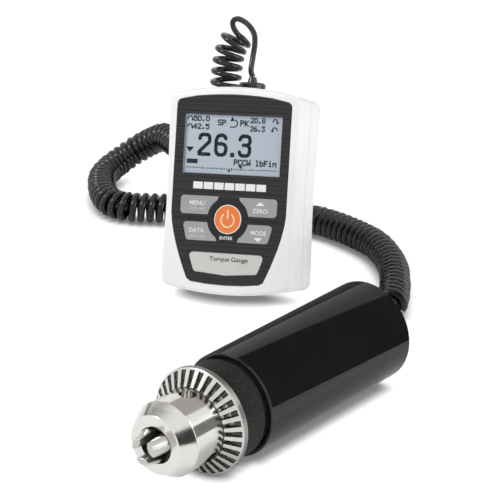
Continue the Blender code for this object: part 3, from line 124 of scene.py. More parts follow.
# The scale along the foot of the display
SCALE_HEIGHT = 0.0652
SCALE_LINE = 0.0003
SCALE_ENDS = ((-0.0256, -0.0176), (0.0160, 0.0250))
SCALE_MARKS = 24
SCALE_START = -0.0168
SCALE_STEP = 0.00138
SCALE_MARK_WIDTH = 0.0006
SCALE_TALL = (0.0011, 0.0006, 0.0006, 0.0006)
SCALE_POINTERS = [
    ((-0.0014, SCALE_HEIGHT - 0.0013), 0.0010, 0.0015),
    ((0.0050, SCALE_HEIGHT + 0.0019), 0.0014, -0.0015),
]

# Keys and their print: each word, its centre and its width
POWER_CENTRE = (0.0, 0.03925)
POWER_RING = 0.00705
BLACK_RING = 0.0116
BLACK_ROW = 0.0010
# Over what width printed black or white goes over to the colour beside it
PRINT_FADE = 0.0002
KEY_WORDS = {
    "menu": [("MENU", (-0.0175, 0.0470), 0.0086), ("ESCAPE", (-0.0173, 0.0441), 0.0074)],
    "data": [("DATA", (-0.0171, 0.0329), 0.0083), ("DIRECTION", (-0.0169, 0.0298), 0.0090)],
    "zero": [("ZERO", (0.0178, 0.0444), 0.0083)],
    "mode": [("MODE", (0.0176, 0.0331), 0.0086)],
}
# The middle of each arrow's base, its half width and its height, which is negative where it points down
KEY_ARROWS = {
    "zero": ((0.0178, 0.0471), 0.0025, 0.0020),
    "mode": ((0.0175, 0.0306), 0.0025, -0.0020),
}
KEY_WORD_HEIGHT = 0.0023
SMALL_WORD_HEIGHT = 0.0013
BOLDER = 0.00002
SIGN_DROP = 0.0004
SIGN_RADII = (0.0032, 0.0040)
SIGN_TURN = (math.radians(124), math.radians(416))
SIGN_BAR_HALF = 0.00042
SIGN_BAR_HEIGHTS = (0.0002, 0.0050)

# Print on the face
ENTER_WORD = ("ENTER", (-0.0004, 0.0296), 0.0073, 0.0017)
PLATE_WORDS = ("Torque Gauge", (0.0017, 0.0184), 0.0215, 0.0031)
TILE_COUNT = 7
TILE_START = -0.0205
TILE_STEP = 0.0059
TILE_WIDTH = 0.0053
TILE_HEIGHTS = (0.0544, 0.0580)

# The case's rear, its screws and the cord's gland
CASE_DEPTH = 0.0345
SCREW_PLACES = [(side * 0.0265, y) for y in (0.0978, 0.0110) for side in (-1, 1)]
SCREWS = [f"housing_screw_{number}" for number in range(1, 5)]
SCREW_SUNK = 0.0003
SCREW_TOP = CASE_DEPTH - SCREW_SUNK
SCREW_HEAD_HEIGHT = 0.0016
SCREW_HEAD_RADII = (0.0024, 0.00225)
CROSS_LENGTH = 0.0027
CROSS_WIDTH = 0.00056
CROSS_DEPTH = 0.0014
GLAND_DEPTH = 0.0223
GLAND_TIP = 0.11424

# Sensor: its axis, and places measured forwards from the handle's front end
SENSOR_X = -0.06825
SENSOR_Y = -0.06788
SENSOR_HEIGHT = 0.0256
AXIS = Matrix.Translation((SENSOR_X, SENSOR_Y, SENSOR_HEIGHT))
CLEAR = 0.0003
CHUCK_TURN = math.radians(-4.0)
CHUCK_NOSE = 0.0520
NOSE_RADIUS = 0.0138
CONE_START = 0.0442
BODY_RADIUS = 0.0180
BODY_REAR_RADIUS = 0.0176
SLEEVE_FRONT = 0.0261
BODY_SHOULDER = 0.0220
BODY_NUT_RADIUS = 0.0160
BODY_REAR = 0.0140
HUB_RADIUS = 0.0088
HUB_REAR = 0.0041
SPINDLE_BORE_RADIUS = 0.0050
SPINDLE_BORE_FRONT = 0.0180
MOUTH_RADIUS = 0.0087
MOUTH_DEPTH = 0.0020
WORK_BORE_RADIUS = 0.0065
KEY_HOLE_RADIUS = 0.0038
KEY_HOLE_PLACE = 0.0315
KEY_HOLE_DEPTH = 0.0070
# How far out the rod that cuts a key hole reaches, in radii of the body
CUT_PAST = 1.2
RIM_RADIUS = 0.0256
RIM_FRONT = 0.02095
RIM_WIDTH = 0.0027
SLEEVE_REAR = 0.0166
SLEEVE_BORE = 0.0179
SLEEVE_SEAT = 0.0212
SLEEVE_BARREL_RADIUS = 0.0219
TOOTH_COUNT = 30
SLOT_PLACE = 0.71
# Each end of a slot between the teeth: its radius, its half width, and how far forward its floor lies
SLOT_INNER = (0.0168, 0.00100, 0.0226)
SLOT_OUTER = (0.0248, 0.00150, 0.0203)
SLOT_DEPTH_SEEN = 0.0004
SLOT_STEPS = 8
JAW_COUNT = 3
JAW_RADIUS = 0.0044
JAW_TILT = math.radians(15.0)
JAW_RADIUS_AT_NOSE = 0.0042
JAW_REACH = 0.0086
JAW_LENGTH = 0.0495
JAW_OPENING = 0.0032
JAW_LAND = 0.0012

# How finely round shapes are drawn
ROUND_STEPS = 144
RIM_STEPS = 180
BORE_STEPS = 48
SCREW_STEPS = 40
EASE_STEPS = 3
# How far from a corner the flat stops, as a share of the corner's ease
EASE_STOP = 1.5
SHARP_EDGE = math.radians(32)
MERGE = 1e-6
JAW_EDGE = 0.0004
JAW_EDGE_STEPS = 3
STROKE_STEPS = 16
BAND_STEPS = 40
BOW_STEPS = 14
TURN_ARROW_STEPS = 12
LETTER_STEPS = 4
JACKET_STEPS = 4

# Cord
CORD_DIAMETER = 0.0030
UPPER_COIL_RADIUS = 0.0071
COIL_RADIUS = 0.0064
COIL_RAMP = 0.011
COIL_STARTS_AT = math.radians(-40)
# How many times its own thickness the jacket has in the curl, and the shares of the curl where it swells
FULL_JACKET = 1.36
JACKET_SWELLS = (0.10, 0.20)
TURN_POINTS = 18
TAIL_STEP = 0.0012
ROUTE_STEP = 0.0002
# How many fine points are drawn between two of a route's own, before they are spaced evenly
FINE_STEPS = 20
# By how many of its own pitches the curl's very last turn opens up, and where the cord counts as plain again
LAST_TURN_OPENS = 3
PLAIN_RAMP = 0.1
INDICATOR_TAIL = [
    (0.1144, 0.0622, 0.1119),
    (0.1176, 0.0637, 0.1173),
    (0.1222, 0.0660, 0.1229),
    (0.1258, 0.0690, 0.1272),
    (0.1284, 0.0738, 0.1300),
    (0.1304, 0.0791, 0.1313),
    (0.1310, 0.0839, 0.1319),
    (0.1305, 0.0865, 0.1308),
    (0.1303, 0.0871, 0.1285),
    (0.1308, 0.0860, 0.1253),
    (0.1322, 0.0835, 0.1216),
]
CURL_ROUTE = [
    (0.1369, 0.0876, 0.1208),
    (0.1347, 0.0887, 0.1178),
    (0.1324, 0.0896, 0.1139),
    (0.1305, 0.0898, 0.1091),
    (0.1288, 0.0895, 0.1042),
    (0.1272, 0.0889, 0.0986),
    (0.1255, 0.0878, 0.0906),
    (0.1243, 0.0870, 0.0789),
    (0.1244, 0.0881, 0.0671),
    (0.1281, 0.0963, 0.0552),
    (0.1361, 0.1096, 0.0454),
    (0.1477, 0.1253, 0.0386),
    (0.1605, 0.1420, 0.0343),
    (0.1731, 0.1597, 0.0320),
    (0.1828, 0.1777, 0.0300),
    (0.1840, 0.1897, 0.0240),
    (0.1807, 0.1981, 0.0180),
    (0.1752, 0.2027, 0.0135),
    (0.1654, 0.2035, 0.0105),
    (0.1530, 0.1997, 0.0090),
    (0.1409, 0.1899, 0.0085),
    (0.1311, 0.1792, 0.0085),
    (0.1255, 0.1689, 0.0085),
    (0.1257, 0.1596, 0.0085),
    (0.1298, 0.1521, 0.0085),
    (0.1344, 0.1451, 0.0085),
    (0.1450, 0.1297, 0.0085),
    (0.1581, 0.1107, 0.0085),
    (0.1691, 0.0897, 0.0085),
    (0.1760, 0.0687, 0.0085),
    (0.1770, 0.0568, 0.0085),
    (0.1762, 0.0468, 0.0085),
    (0.1740, 0.0358, 0.0085),
    (0.1711, 0.0245, 0.0085),
    (0.1666, 0.0144, 0.0085),
    (0.1591, 0.0040, 0.0085),
    (0.1475, -0.0088, 0.0085),
    (0.1316, -0.0212, 0.0085),
    (0.1171, -0.0307, 0.0085),
    (0.1056, -0.0374, 0.0085),
    (0.0986, -0.0421, 0.0085),
]
HANDLE_TAIL = [
    (0.0981, -0.0426, 0.0086),
    (0.0943, -0.0456, 0.0093),
    (0.0898, -0.0506, 0.0114),
    (0.0856, -0.0550, 0.0143),
    (0.0803, -0.0600, 0.0181),
    (0.0743, -0.0644, 0.0219),
    (0.0681, -0.0670, 0.0246),
    (0.0613, -0.0679, 0.0256),
]
# How far apart the turns lie along the curly stretch: (share of its length, pitch)
PITCHES = [
    (0.0, 0.0056),
    (0.10, 0.0054),
    (0.30, 0.0049),
    (0.40, 0.0046),
    (0.50, 0.0047),
    (0.56, 0.0052),
    (0.64, 0.0046),
    (0.74, 0.0042),
    (0.88, 0.0048),
    (1.0, 0.0050),
]

# Lamps: each one's place, what it faces, its size and its power
LAMPS = {
    "fill_lamp": ((0.35, -1.0, 0.45), (0.05, 0, 0.05), 0.9, 6.0),
    "key_lamp": ((-0.7, 0.6, 0.9), (0, 0, 0.03), 0.32, 7.0),
}
SKY_LEVEL = 0.62

# Floor, and the shadow close to what stands on it: how far it reaches, its deepest level,
# and the shares of open sky between which it fades
FLOOR_SIZE = 3.0
FLOOR_DROP = 0.0002
FLOOR_GLOW = 0.86
FLOOR_SHINE = 1.10
SHADOW_REACH = 0.008
SHADOW_LEVEL = 0.20
SHADOW_FADE = (0.30, 0.80)

# Dark and grey cards round the sensor that only its reflections see
CARD_RADIUS = 0.070
CARD_STEPS = 24
CARD_COLOUR = (1, 0.97, 0.93, 1)
# Each round card: its two ends as (place forward, lowest and highest angle), and its tone
ROUND_CARDS = {
    "handle_card": ((-0.040, -92, 22), (-0.195, -113, -22), 0.0),
    "handle_back_card": ((-0.040, 22, 62), (-0.195, -22, 42), 0.55),
    "handle_top_card": ((-0.040, 62, 112), (-0.195, 42, 112), 0.11),
    "chuck_dark_card": ((0.036, -87, -57), (-0.038, -87, -57), 0.16),
    "chuck_grey_card": ((0.036, -25, 36), (-0.038, -25, 36), 0.46),
}
# Each flat card: its corners, and its tone
FLAT_CARDS = {
    "cone_side_card": (
        ((-0.187, -0.212, 0.195), (-0.122, -0.212, 0.090), (-0.111, -0.212, 0.001), (-0.172, -0.212, 0.045)),
        0.03,
    ),
    "cone_back_card": (
        ((0.015, 0.178, 0.017), (-0.077, 0.171, 0.117), (-0.189, -0.146, 0.328), (-0.038, 0.263, 0.173)),
        0.16,
    ),
}

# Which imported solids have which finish, those that a finer piece stands for among them
SOLID_FINISHES = {
    "white_plastic": ("front_housing", "rear_housing"),
    "overlay_film": ("face_overlay",),
    "silver_foil": ("label_plate",),
    "clear_window": ("display_window",),
    "display_glass": ("display_module",),
    "key_grey": ("key_menu", "key_data", "key_zero", "key_mode"),
    "key_orange": ("key_power",),
    "silicone": ("key_pad",),
    "board_green": ("main_board", "sensor_board"),
    "battery_wrap": ("battery_pack",),
    "steel": ("data_socket", "front_bearing", "torque_shaft", "anchor_ring", "chuck_nut", *SCREWS),
    "bright_steel": ("chuck_body", "chuck_sleeve", "jaw_1", "jaw_2", "jaw_3"),
    "socket_black": ("charge_socket",),
    "black_plastic": ("cord_gland", "gland_nut", "front_plate"),
    "black_anodised": ("handle_tube", "rear_cap"),
    "grey_coating": ("front_collar",),
    "rubber": ("seal_ring", "cord_relief"),
    "cord_jacket": ("cord_curl", "cord_tail_indicator", "cord_tail_sensor"),
}
PALE_DUST = (0.45, 0.44, 0.42)
GREY_DUST = (0.30, 0.29, 0.28)

# Small characters of the display, seven rows of dots from the top
DOTS = {
    "0": ".###. #...# #...# #...# #...# #...# .###.",
    "2": ".###. #...# ....# ...#. ..#.. .#... #####",
    "3": "##### ...#. ..#.. ...#. ....# #...# .###.",
    "4": "...#. ..##. .#.#. #..#. ##### ...#. ...#.",
    "5": "##### #.... ####. ....# ....# #...# .###.",
    "6": "..##. .#... #.... ####. #...# #...# .###.",
    "8": ".###. #...# #...# .###. #...# #...# .###.",
    ".": "..... ..... ..... ..... ..... .##.. .##..",
    "S": ".#### #.... #.... .###. ....# ....# ####.",
    "P": "####. #...# #...# ####. #.... #.... #....",
    "K": "#...# #..#. #.#.. ##... #.#.. #..#. #...#",
    "C": ".###. #...# #.... #.... #.... #...# .###.",
    "W": "#...# #...# #...# #.#.# #.#.# ##.## #...#",
    "F": "##### #.... #.... ####. #.... #.... #....",
    "l": ".##.. ..#.. ..#.. ..#.. ..#.. ..#.. .###.",
    "b": "#.... #.... #.##. ##..# #...# #...# ####.",
    "i": "..#.. ..... .##.. ..#.. ..#.. ..#.. .###.",
    "n": "..... ..... #.##. ##..# #...# #...# #...#",
    " ": "",
}
# Strokes of the reading's large figures, in hundredths of a figure's width and height
FIGURES = {
    "2": [
        [(0, 80), (6, 93), (22, 100), (78, 100), (94, 93), (100, 80), (100, 66), (0, 12), (0, 0), (100, 0)],
    ],
    "6": [
        [(96, 84), (84, 95), (66, 100), (36, 100), (12, 92), (0, 74), (0, 22), (12, 6), (30, 0)],
        [(30, 0), (70, 0), (90, 6), (100, 20), (100, 38), (88, 51), (66, 56), (0, 56)],
    ],
    "3": [
        [(0, 82), (10, 94), (28, 100), (72, 100), (92, 94), (100, 80), (100, 68), (80, 54), (36, 54)],
        [(80, 54), (100, 40), (100, 18), (90, 6), (72, 0), (26, 0), (8, 6), (0, 18)],
    ],
}


def linked(name, data):
    """A new object in the scene."""
    made = bpy.data.objects.new(name, data)
    bpy.context.scene.collection.objects.link(made)
    return made


def make_camera():
    data = bpy.data.cameras.new("camera")
    data.lens = CAMERA_LENS
    data.sensor_width = FILM_WIDTH
    made = linked("camera", data)
    made.matrix_world = (
        Matrix.Translation(CAMERA_PLACE)
        @ Matrix.Rotation(CAMERA_HEADING - math.pi / 2, 4, "Z")
        @ Matrix.Rotation(math.pi / 2 - CAMERA_PITCH, 4, "X")
        @ Matrix.Rotation(CAMERA_ROLL, 4, "Z")
    )
    bpy.context.scene.camera = made


def node(tree, kind, inputs=None, **settings):
    """A shader node, with its settings, and its inputs joined to sockets or given values."""
    made = tree.nodes.new("ShaderNode" + kind)
    for name, value in settings.items():
        setattr(made, name, value)
    for key, value in (inputs or {}).items():
        if isinstance(value, bpy.types.NodeSocket):
            tree.links.new(value, made.inputs[key])
        else:
            made.inputs[key].default_value = value
    return made


def sums(tree, operation, a, b=0.0):
    return node(tree, "Math", {0: a, 1: b}, operation=operation).outputs[0]


def blend_colours(tree, share, first, second):
    return node(tree, "Mix", {0: share, 6: first, 7: second}, data_type="RGBA").outputs[2]


def spread(tree, value, low, high, to_low=0.0, to_high=1.0):
    """A value's range stretched or squeezed to another, and held there."""
    return node(tree, "MapRange", {0: value, 1: low, 2: high, 3: to_low, 4: to_high}).outputs[0]


def noise(tree, place, scale, detail=3.0, roughness=0.55):
    made = node(tree, "TexNoise", {"Vector": place, "Scale": scale, "Detail": detail, "Roughness": roughness})
    return made.outputs[0]


def line_noise(tree, along, scale, detail=3.0):
    made = node(tree, "TexNoise", {"W": along, "Scale": scale, "Detail": detail}, noise_dimensions="1D")
    return made.outputs[0]


def length_of(tree, a, b):
    """How long two values at right angles are together."""
    square = sums(tree, "ADD", sums(tree, "MULTIPLY", a, a), sums(tree, "MULTIPLY", b, b))
    return sums(tree, "SQRT", square)


def object_place(tree):
    return node(tree, "TexCoord").outputs["Object"]


def parts_in(tree, place):
    """X, Y and Z of a surface in another frame's own directions."""
    inputs = {"Vector": object_place(tree), "Location": place.to_translation(), "Rotation": place.to_euler()}
    turned = node(tree, "Mapping", inputs, vector_type="TEXTURE").outputs[0]
    return node(tree, "SeparateXYZ", {0: turned}).outputs


def new_group(name, inputs, outputs):
    """An empty node group with named values going in and coming out."""
    tree = bpy.data.node_groups.new(name, "ShaderNodeTree")
    for label, value in inputs.items():
        socket = tree.interface.new_socket(label, in_out="INPUT", socket_type="NodeSocketFloat")
        socket.default_value = value
    for label in outputs:
        tree.interface.new_socket(label, in_out="OUTPUT", socket_type="NodeSocketFloat")
    given = tree.nodes.new("NodeGroupInput").outputs
    out = tree.nodes.new("NodeGroupOutput").inputs
    return tree, given, out


def use_group(tree, group, values=None):
    made = node(tree, "Group", node_tree=group)
    for label, value in (values or {}).items():
        made.inputs[label].default_value = value
    return made.outputs


def grain_group():
    """Fine grain for relief, and a wide blotch for slow changes of tone and gloss."""
    tree, given, out = new_group("moulded_grain", {"Grain": 2500.0, "Blotches": 45.0}, ("Height", "Blotch"))
    place = object_place(tree)
    tree.links.new(noise(tree, place, given["Grain"], 2.0), out["Height"])
    wide = noise(tree, place, given["Blotches"], 4.0)
    tree.links.new(spread(tree, wide, 0.3, 0.7), out["Blotch"])
    return tree


def edge_group():
    """1 along edges and 0 on the faces between them, broken up a little."""
    tree, given, out = new_group("edge_wear_and_highlight", {"Width": 0.0004, "Breaks": 900.0}, ("Mask",))
    rounded = node(tree, "Bevel", {"Radius": given["Width"]}, samples=4).outputs[0]
    straight = node(tree, "NewGeometry").outputs["Normal"]
    match = node(tree, "VectorMath", {0: rounded, 1: straight}, operation="DOT_PRODUCT").outputs["Value"]
    edge = spread(tree, match, 0.995, 0.80)
    broken = spread(tree, noise(tree, object_place(tree), given["Breaks"], 3.0), 0.25, 0.6)
    tree.links.new(sums(tree, "MULTIPLY", edge, broken), out["Mask"])
    return tree


def dust_group():
    """Fine dust, thickest where a surface faces up."""
    tree, given, out = new_group("dust", {"Amount": 0.1, "Specks": 700.0}, ("Mask",))
    facing = node(tree, "SeparateXYZ", {0: node(tree, "NewGeometry").outputs["Normal"]}).outputs["Z"]
    up = spread(tree, facing, -0.2, 1.0)
    place = object_place(tree)
    specks = spread(tree, noise(tree, place, given["Specks"], 5.0, 0.7), 0.48, 0.75)
    lying = sums(tree, "MULTIPLY", up, specks)
    tree.links.new(sums(tree, "MULTIPLY", lying, given["Amount"]), out["Mask"])
    return tree


def turning_group():
    """Rings left by the lathe round the sensor's axis: a fine relief, and a slow change of tone."""
    tree, given, out = new_group("turning_marks", {"Rings": 9000.0}, ("Height", "Tone"))
    parts = parts_in(tree, AXIS)
    run = sums(tree, "ADD", parts["X"], length_of(tree, parts["Y"], parts["Z"]))
    tree.links.new(line_noise(tree, run, given["Rings"]), out["Height"])
    tree.links.new(spread(tree, line_noise(tree, run, 1400.0), 0.3, 0.7), out["Tone"])
    return tree


def new_finish(name, colour, roughness, metallic=0.0, **sockets):
    """A material with its plain values on the shader's own sockets."""
    made = bpy.data.materials.new(name)
    made.use_nodes = True
    shader = made.node_tree.nodes["Principled BSDF"]
    shader.inputs["Base Color"].default_value = (*colour, 1)
    shader.inputs["Roughness"].default_value = roughness
    shader.inputs["Metallic"].default_value = metallic
    for label, value in sockets.items():
        shader.inputs[label.replace("_", " ")].default_value = value
    return made, made.node_tree, shader.inputs


def lay_on(tree, inputs, tone, height, depth, gloss=None):
    """Joins a mixed colour, a relief, and a gloss that goes from one level to another, to the shader."""
    tree.links.new(tone, inputs["Base Color"])
    bump = node(tree, "Bump", {"Height": height, "Distance": depth, "Strength": 1.0})
    tree.links.new(bump.outputs[0], inputs["Normal"])
    if gloss:
        share, smooth, rough = gloss
        tree.links.new(spread(tree, share, 0, 1, smooth, rough), inputs["Roughness"])


def scaled(colour, by):
    return tuple(level * by for level in colour)


def blotched(tree, marks, first, second):
    """A colour that goes slowly over to another in wide blotches."""
    return blend_colours(tree, marks["Blotch"], (*first, 1), (*second, 1))


def wear_and_highlight_on_edges(tree, tone, share, edge_tone, **sizes):
    """A lighter colour along the edges, partly rubbed wear and partly a painted highlight."""
    mask = sums(tree, "MULTIPLY", use_group(tree, EDGES, sizes)["Mask"], share)
    return blend_colours(tree, mask, tone, (*edge_tone, 1))


def dusty(tree, tone, amount, dust):
    return blend_colours(tree, use_group(tree, DUST, {"Amount": amount})["Mask"], tone, (*dust, 1))


def plain_moulding(name, colour, roughness, grain=2500.0, depth=0.00002, edge=0.35, dust=0.0):
    """Moulded plastic or rubber: grain, slow blotches, lighter edges and a little dust."""
    made, tree, inputs = new_finish(name, colour, roughness)
    marks = use_group(tree, GRAIN, {"Grain": grain})
    lighter = tuple(level + (1 - level) * 0.25 for level in colour)
    tone = wear_and_highlight_on_edges(tree, blotched(tree, marks, colour, scaled(colour, 0.93)), edge, lighter)
    if dust:
        tone = dusty(tree, tone, dust, PALE_DUST)
    lay_on(tree, inputs, tone, marks["Height"], depth, (marks["Blotch"], roughness - 0.04, roughness + 0.05))
    return made


def from_power_key(tree, face):
    """How far a place on the face lies above the power key's centre, and how far away from it."""
    up = sums(tree, "SUBTRACT", face["Y"], POWER_CENTRE[1])
    return up, length_of(tree, face["X"], up)


def overlay_film():
    """Dark printed film with fine lines across, black round the power key and between the rows of keys."""
    made, tree, inputs = new_finish("overlay_film", (0.045, 0.045, 0.044), 0.42, Specular_IOR_Level=0.20)
    face = parts_in(tree, FACE)
    lines = spread(tree, line_noise(tree, face["Y"], 1050.0, 1.0), 0.34, 0.64)
    tone = blend_colours(tree, lines, (0.012, 0.012, 0.012, 1), (0.034, 0.034, 0.033, 1))
    up, away = from_power_key(tree, face)
    ring = spread(tree, away, BLACK_RING, BLACK_RING + PRINT_FADE, 1.0, 0.0)
    row = spread(tree, sums(tree, "ABSOLUTE", up), BLACK_ROW, BLACK_ROW + PRINT_FADE, 1.0, 0.0)
    tone = blend_colours(tree, sums(tree, "MAXIMUM", ring, row), tone, (0.016, 0.016, 0.016, 1))
    marks = use_group(tree, GRAIN, {"Grain": 5000.0})
    lay_on(tree, inputs, tone, marks["Height"], 0.00001, (marks["Blotch"], 0.38, 0.5))
    return made


def silver_foil():
    """The plate's light satin foil, brushed across."""
    made, tree, inputs = new_finish("silver_foil", (0.62, 0.62, 0.59), 0.38, 0.25)
    brushed = line_noise(tree, parts_in(tree, FACE)["Y"], 9000.0)
    tone = blotched(tree, use_group(tree, GRAIN), (0.58, 0.575, 0.55), (0.52, 0.515, 0.49))
    tone = blend_colours(tree, sums(tree, "MULTIPLY", brushed, 0.3), tone, (0.50, 0.50, 0.48, 1))
    lay_on(tree, inputs, tone, brushed, 0.00001)
    return made


def liquid_crystal():
    """The display's grey-blue ground, with painted shade under the opening's top and left edges."""
    made, tree, inputs = new_finish("display_glass", (0.40, 0.46, 0.525), 0.25)
    face = parts_in(tree, FACE)
    left_edge = DISPLAY_CENTRE[0] - DISPLAY_WIDTH / 2
    top_edge = DISPLAY_CENTRE[1] + DISPLAY_HEIGHT / 2
    left = spread(tree, face["X"], left_edge, left_edge + SHADED_LEFT, SHADED_LEVEL, 0.0)
    top = spread(tree, face["Y"], top_edge - SHADED_TOP, top_edge, 0.0, SHADED_LEVEL)
    marks = use_group(tree, GRAIN, {"Blotches": 20.0})
    tone = blotched(tree, marks, (0.42, 0.48, 0.54), (0.38, 0.44, 0.51))
    # Painted shade where the opening's top and left edges would shade the ground.
    tone = blend_colours(tree, sums(tree, "MAXIMUM", left, top), tone, (0.14, 0.16, 0.22, 1))
    lay_on(tree, inputs, tone, marks["Height"], 0.000004)
    return made


def clear_window():
    """A clear pane with faint smears, which lets nearly everything through."""
    made, tree, inputs = new_finish("clear_window", (0.80, 0.85, 0.92), 0.08, IOR=1.49)
    marks = use_group(tree, GRAIN, {"Blotches": 60.0})
    tree.links.new(spread(tree, marks["Blotch"], 0, 1, 0.005, 0.015), inputs["Alpha"])
    tree.links.new(spread(tree, marks["Blotch"], 0, 1, 0.06, 0.16), inputs["Roughness"])
    return made


def power_orange():
    """The power key's orange, with a white ring printed at its edge."""
    made, tree, inputs = new_finish("key_orange", (0.80, 0.20, 0.03), 0.42)
    away = from_power_key(tree, parts_in(tree, FACE))[1]
    marks = use_group(tree, GRAIN)
    tone = blotched(tree, marks, (0.80, 0.20, 0.030), (0.74, 0.17, 0.022))
    ring = spread(tree, away, POWER_RING, POWER_RING + PRINT_FADE / 2)
    tone = blend_colours(tree, ring, tone, (0.86, 0.84, 0.80, 1))
    lay_on(tree, inputs, tone, marks["Height"], 0.00002)
    return made


def turned_metal(name, colour, roughness, depth=0.000004, rings=9000.0):
    """Steel with the lathe's rings, a little stain and brighter edges."""
    made, tree, inputs = new_finish(name, colour, roughness, 1.0)
    lathe = use_group(tree, TURNING, {"Rings": rings})
    marks = use_group(tree, GRAIN, {"Blotches": 160.0})
    ringed = sums(tree, "MULTIPLY", lathe["Tone"], 0.6)
    tone = blend_colours(tree, ringed, (*colour, 1), (*scaled(colour, 0.90), 1))
    stained = sums(tree, "MULTIPLY", marks["Blotch"], 0.25)
    tone = blend_colours(tree, stained, tone, (*scaled(colour, 0.84), 1))
    # Brighter edges, partly wear and partly a painted highlight.
    tone = wear_and_highlight_on_edges(tree, tone, 1.0, (0.95, 0.94, 0.92), Width=0.0003)
    lay_on(tree, inputs, tone, lathe["Height"], depth)
    gloss = sums(tree, "ADD", lathe["Tone"], marks["Blotch"])
    tree.links.new(spread(tree, gloss, 0.2, 1.8, roughness - 0.03, roughness + 0.07), inputs["Roughness"])
    return made


def black_anodised():
    """The handle's glossy black, with a grey line along its edges: partly wear, partly a painted highlight.
    """
    made, tree, inputs = new_finish("black_anodised", (0.0105, 0.0105, 0.0100), 0.07, Specular_IOR_Level=0.30)
    marks = use_group(tree, GRAIN, {"Grain": 1800.0, "Blotches": 30.0})
    tone = blotched(tree, marks, (0.0110, 0.0110, 0.0105), (0.0085, 0.0085, 0.0080))
    # The grey edge line is partly wear and partly a painted highlight.
    tone = wear_and_highlight_on_edges(tree, tone, 0.8, (0.16, 0.16, 0.155), Width=0.0007, Breaks=350.0)
    tone = dusty(tree, tone, 0.02, GREY_DUST)
    lay_on(tree, inputs, tone, marks["Height"], 0.0000015, (marks["Blotch"], 0.06, 0.10))
    return made


def grey_coating():
    """The collar's dark coating, with fine light specks."""
    made, tree, inputs = new_finish("grey_coating", (0.016, 0.016, 0.015), 0.5, Specular_IOR_Level=0.10)
    marks = use_group(tree, GRAIN, {"Grain": 1500.0})
    specks = spread(tree, noise(tree, object_place(tree), 900.0, 4.0, 0.8), 0.54, 0.68)
    tone = blotched(tree, marks, (0.013, 0.013, 0.012), (0.020, 0.020, 0.019))
    tone = blend_colours(tree, sums(tree, "MULTIPLY", specks, 0.6), tone, (0.085, 0.084, 0.080, 1))
    tone = wear_and_highlight_on_edges(tree, tone, 0.6, (0.16, 0.16, 0.155), Width=0.0004)
    lay_on(tree, inputs, tone, marks["Height"], 0.00004)
    return made


def cord_jacket():
    """Smooth dark jacket with a waxy sheen."""
    made, tree, inputs = new_finish("cord_jacket", (0.009, 0.009, 0.009), 0.18, Specular_IOR_Level=0.42)
    marks = use_group(tree, GRAIN, {"Grain": 1200.0, "Blotches": 120.0})
    tone = blotched(tree, marks, (0.007, 0.007, 0.007), (0.012, 0.012, 0.012))
    tone = dusty(tree, tone, 0.05, GREY_DUST)
    lay_on(tree, inputs, tone, marks["Height"], 0.00001, (marks["Blotch"], 0.16, 0.22))
    return made


def printed(name, colour, **sockets):
    """Printing ink, slightly uneven."""
    made, tree, inputs = new_finish(name, colour, 0.5, **sockets)
    marks = use_group(tree, GRAIN, {"Grain": 6000.0, "Blotches": 400.0})
    thin = sums(tree, "MULTIPLY", marks["Blotch"], 0.8)
    tone = blend_colours(tree, thin, (*colour, 1), (*scaled(colour, 0.9), 1))
    lay_on(tree, inputs, tone, marks["Height"], 0.000005)
    return made


def circuit_green():
    """Lacquered board with copper lines under the lacquer."""
    made, tree, inputs = new_finish("board_green", (0.03, 0.17, 0.07), 0.4)
    lines = node(tree, "TexBrick", {"Vector": object_place(tree), "Scale": 220.0, "Mortar Size": 0.06})
    tone = blend_colours(tree, lines.outputs["Fac"], (0.03, 0.17, 0.07, 1), (0.06, 0.26, 0.11, 1))
    lay_on(tree, inputs, tone, lines.outputs["Fac"], 0.00003)
    return made


def detached(name, bm):
    """A bmesh becomes a new object's mesh."""
    mesh = bpy.data.meshes.new(name)
    bm.to_mesh(mesh)
    bm.free()
    return linked(name, mesh)


def carved(bm, tool):
    """The first bmesh with the second cut out of it."""
    for part in (bm, tool):
        bmesh.ops.recalc_face_normals(part, faces=part.faces)
    blank, knife = detached("blank", bm), detached("knife", tool)
    cut = blank.modifiers.new("cut", "BOOLEAN")
    cut.operation = "DIFFERENCE"
    cut.solver = "EXACT"
    cut.object = knife
    result = bmesh.new()
    result.from_object(blank, bpy.context.evaluated_depsgraph_get())
    for used in (blank, knife):
        mesh = used.data
        bpy.data.objects.remove(used)
        bpy.data.meshes.remove(mesh)
    return result


def settle(name, bm, finishes, body, replaces=()):
    """A bmesh becomes a smooth-shaded piece that rides on a body."""
    bmesh.ops.remove_doubles(bm, verts=bm.verts, dist=MERGE)
    bmesh.ops.recalc_face_normals(bm, faces=bm.faces)
    made = detached(name, bm)
    made.data.shade_smooth()
    made.data.set_sharp_from_angle(angle=SHARP_EDGE)
    for finish in finishes:
        made.data.materials.append(finish)
    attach(made, body)
    if replaces:
        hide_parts(*replaces)


def eased(corners):
    """A closed profile of (place forward, radius, ease) corners, each a small arc between two stops."""
    profile = []
    for i, (s, r, ease) in enumerate(corners):
        here = Vector((s, r))
        before = (Vector(corners[i - 1][:2]) - here).normalized()
        after = (Vector(corners[(i + 1) % len(corners)][:2]) - here).normalized()
        if ease <= 0:
            profile.append((s, r))
            continue
        arc = [((1 - step / EASE_STEPS) ** 2, (step / EASE_STEPS) ** 2) for step in range(EASE_STEPS + 1)]
        for inwards, outwards in [(EASE_STOP, 0), *arc, (0, EASE_STOP)]:
            profile.append(tuple(here + before * ease * inwards + after * ease * outwards))
    return profile


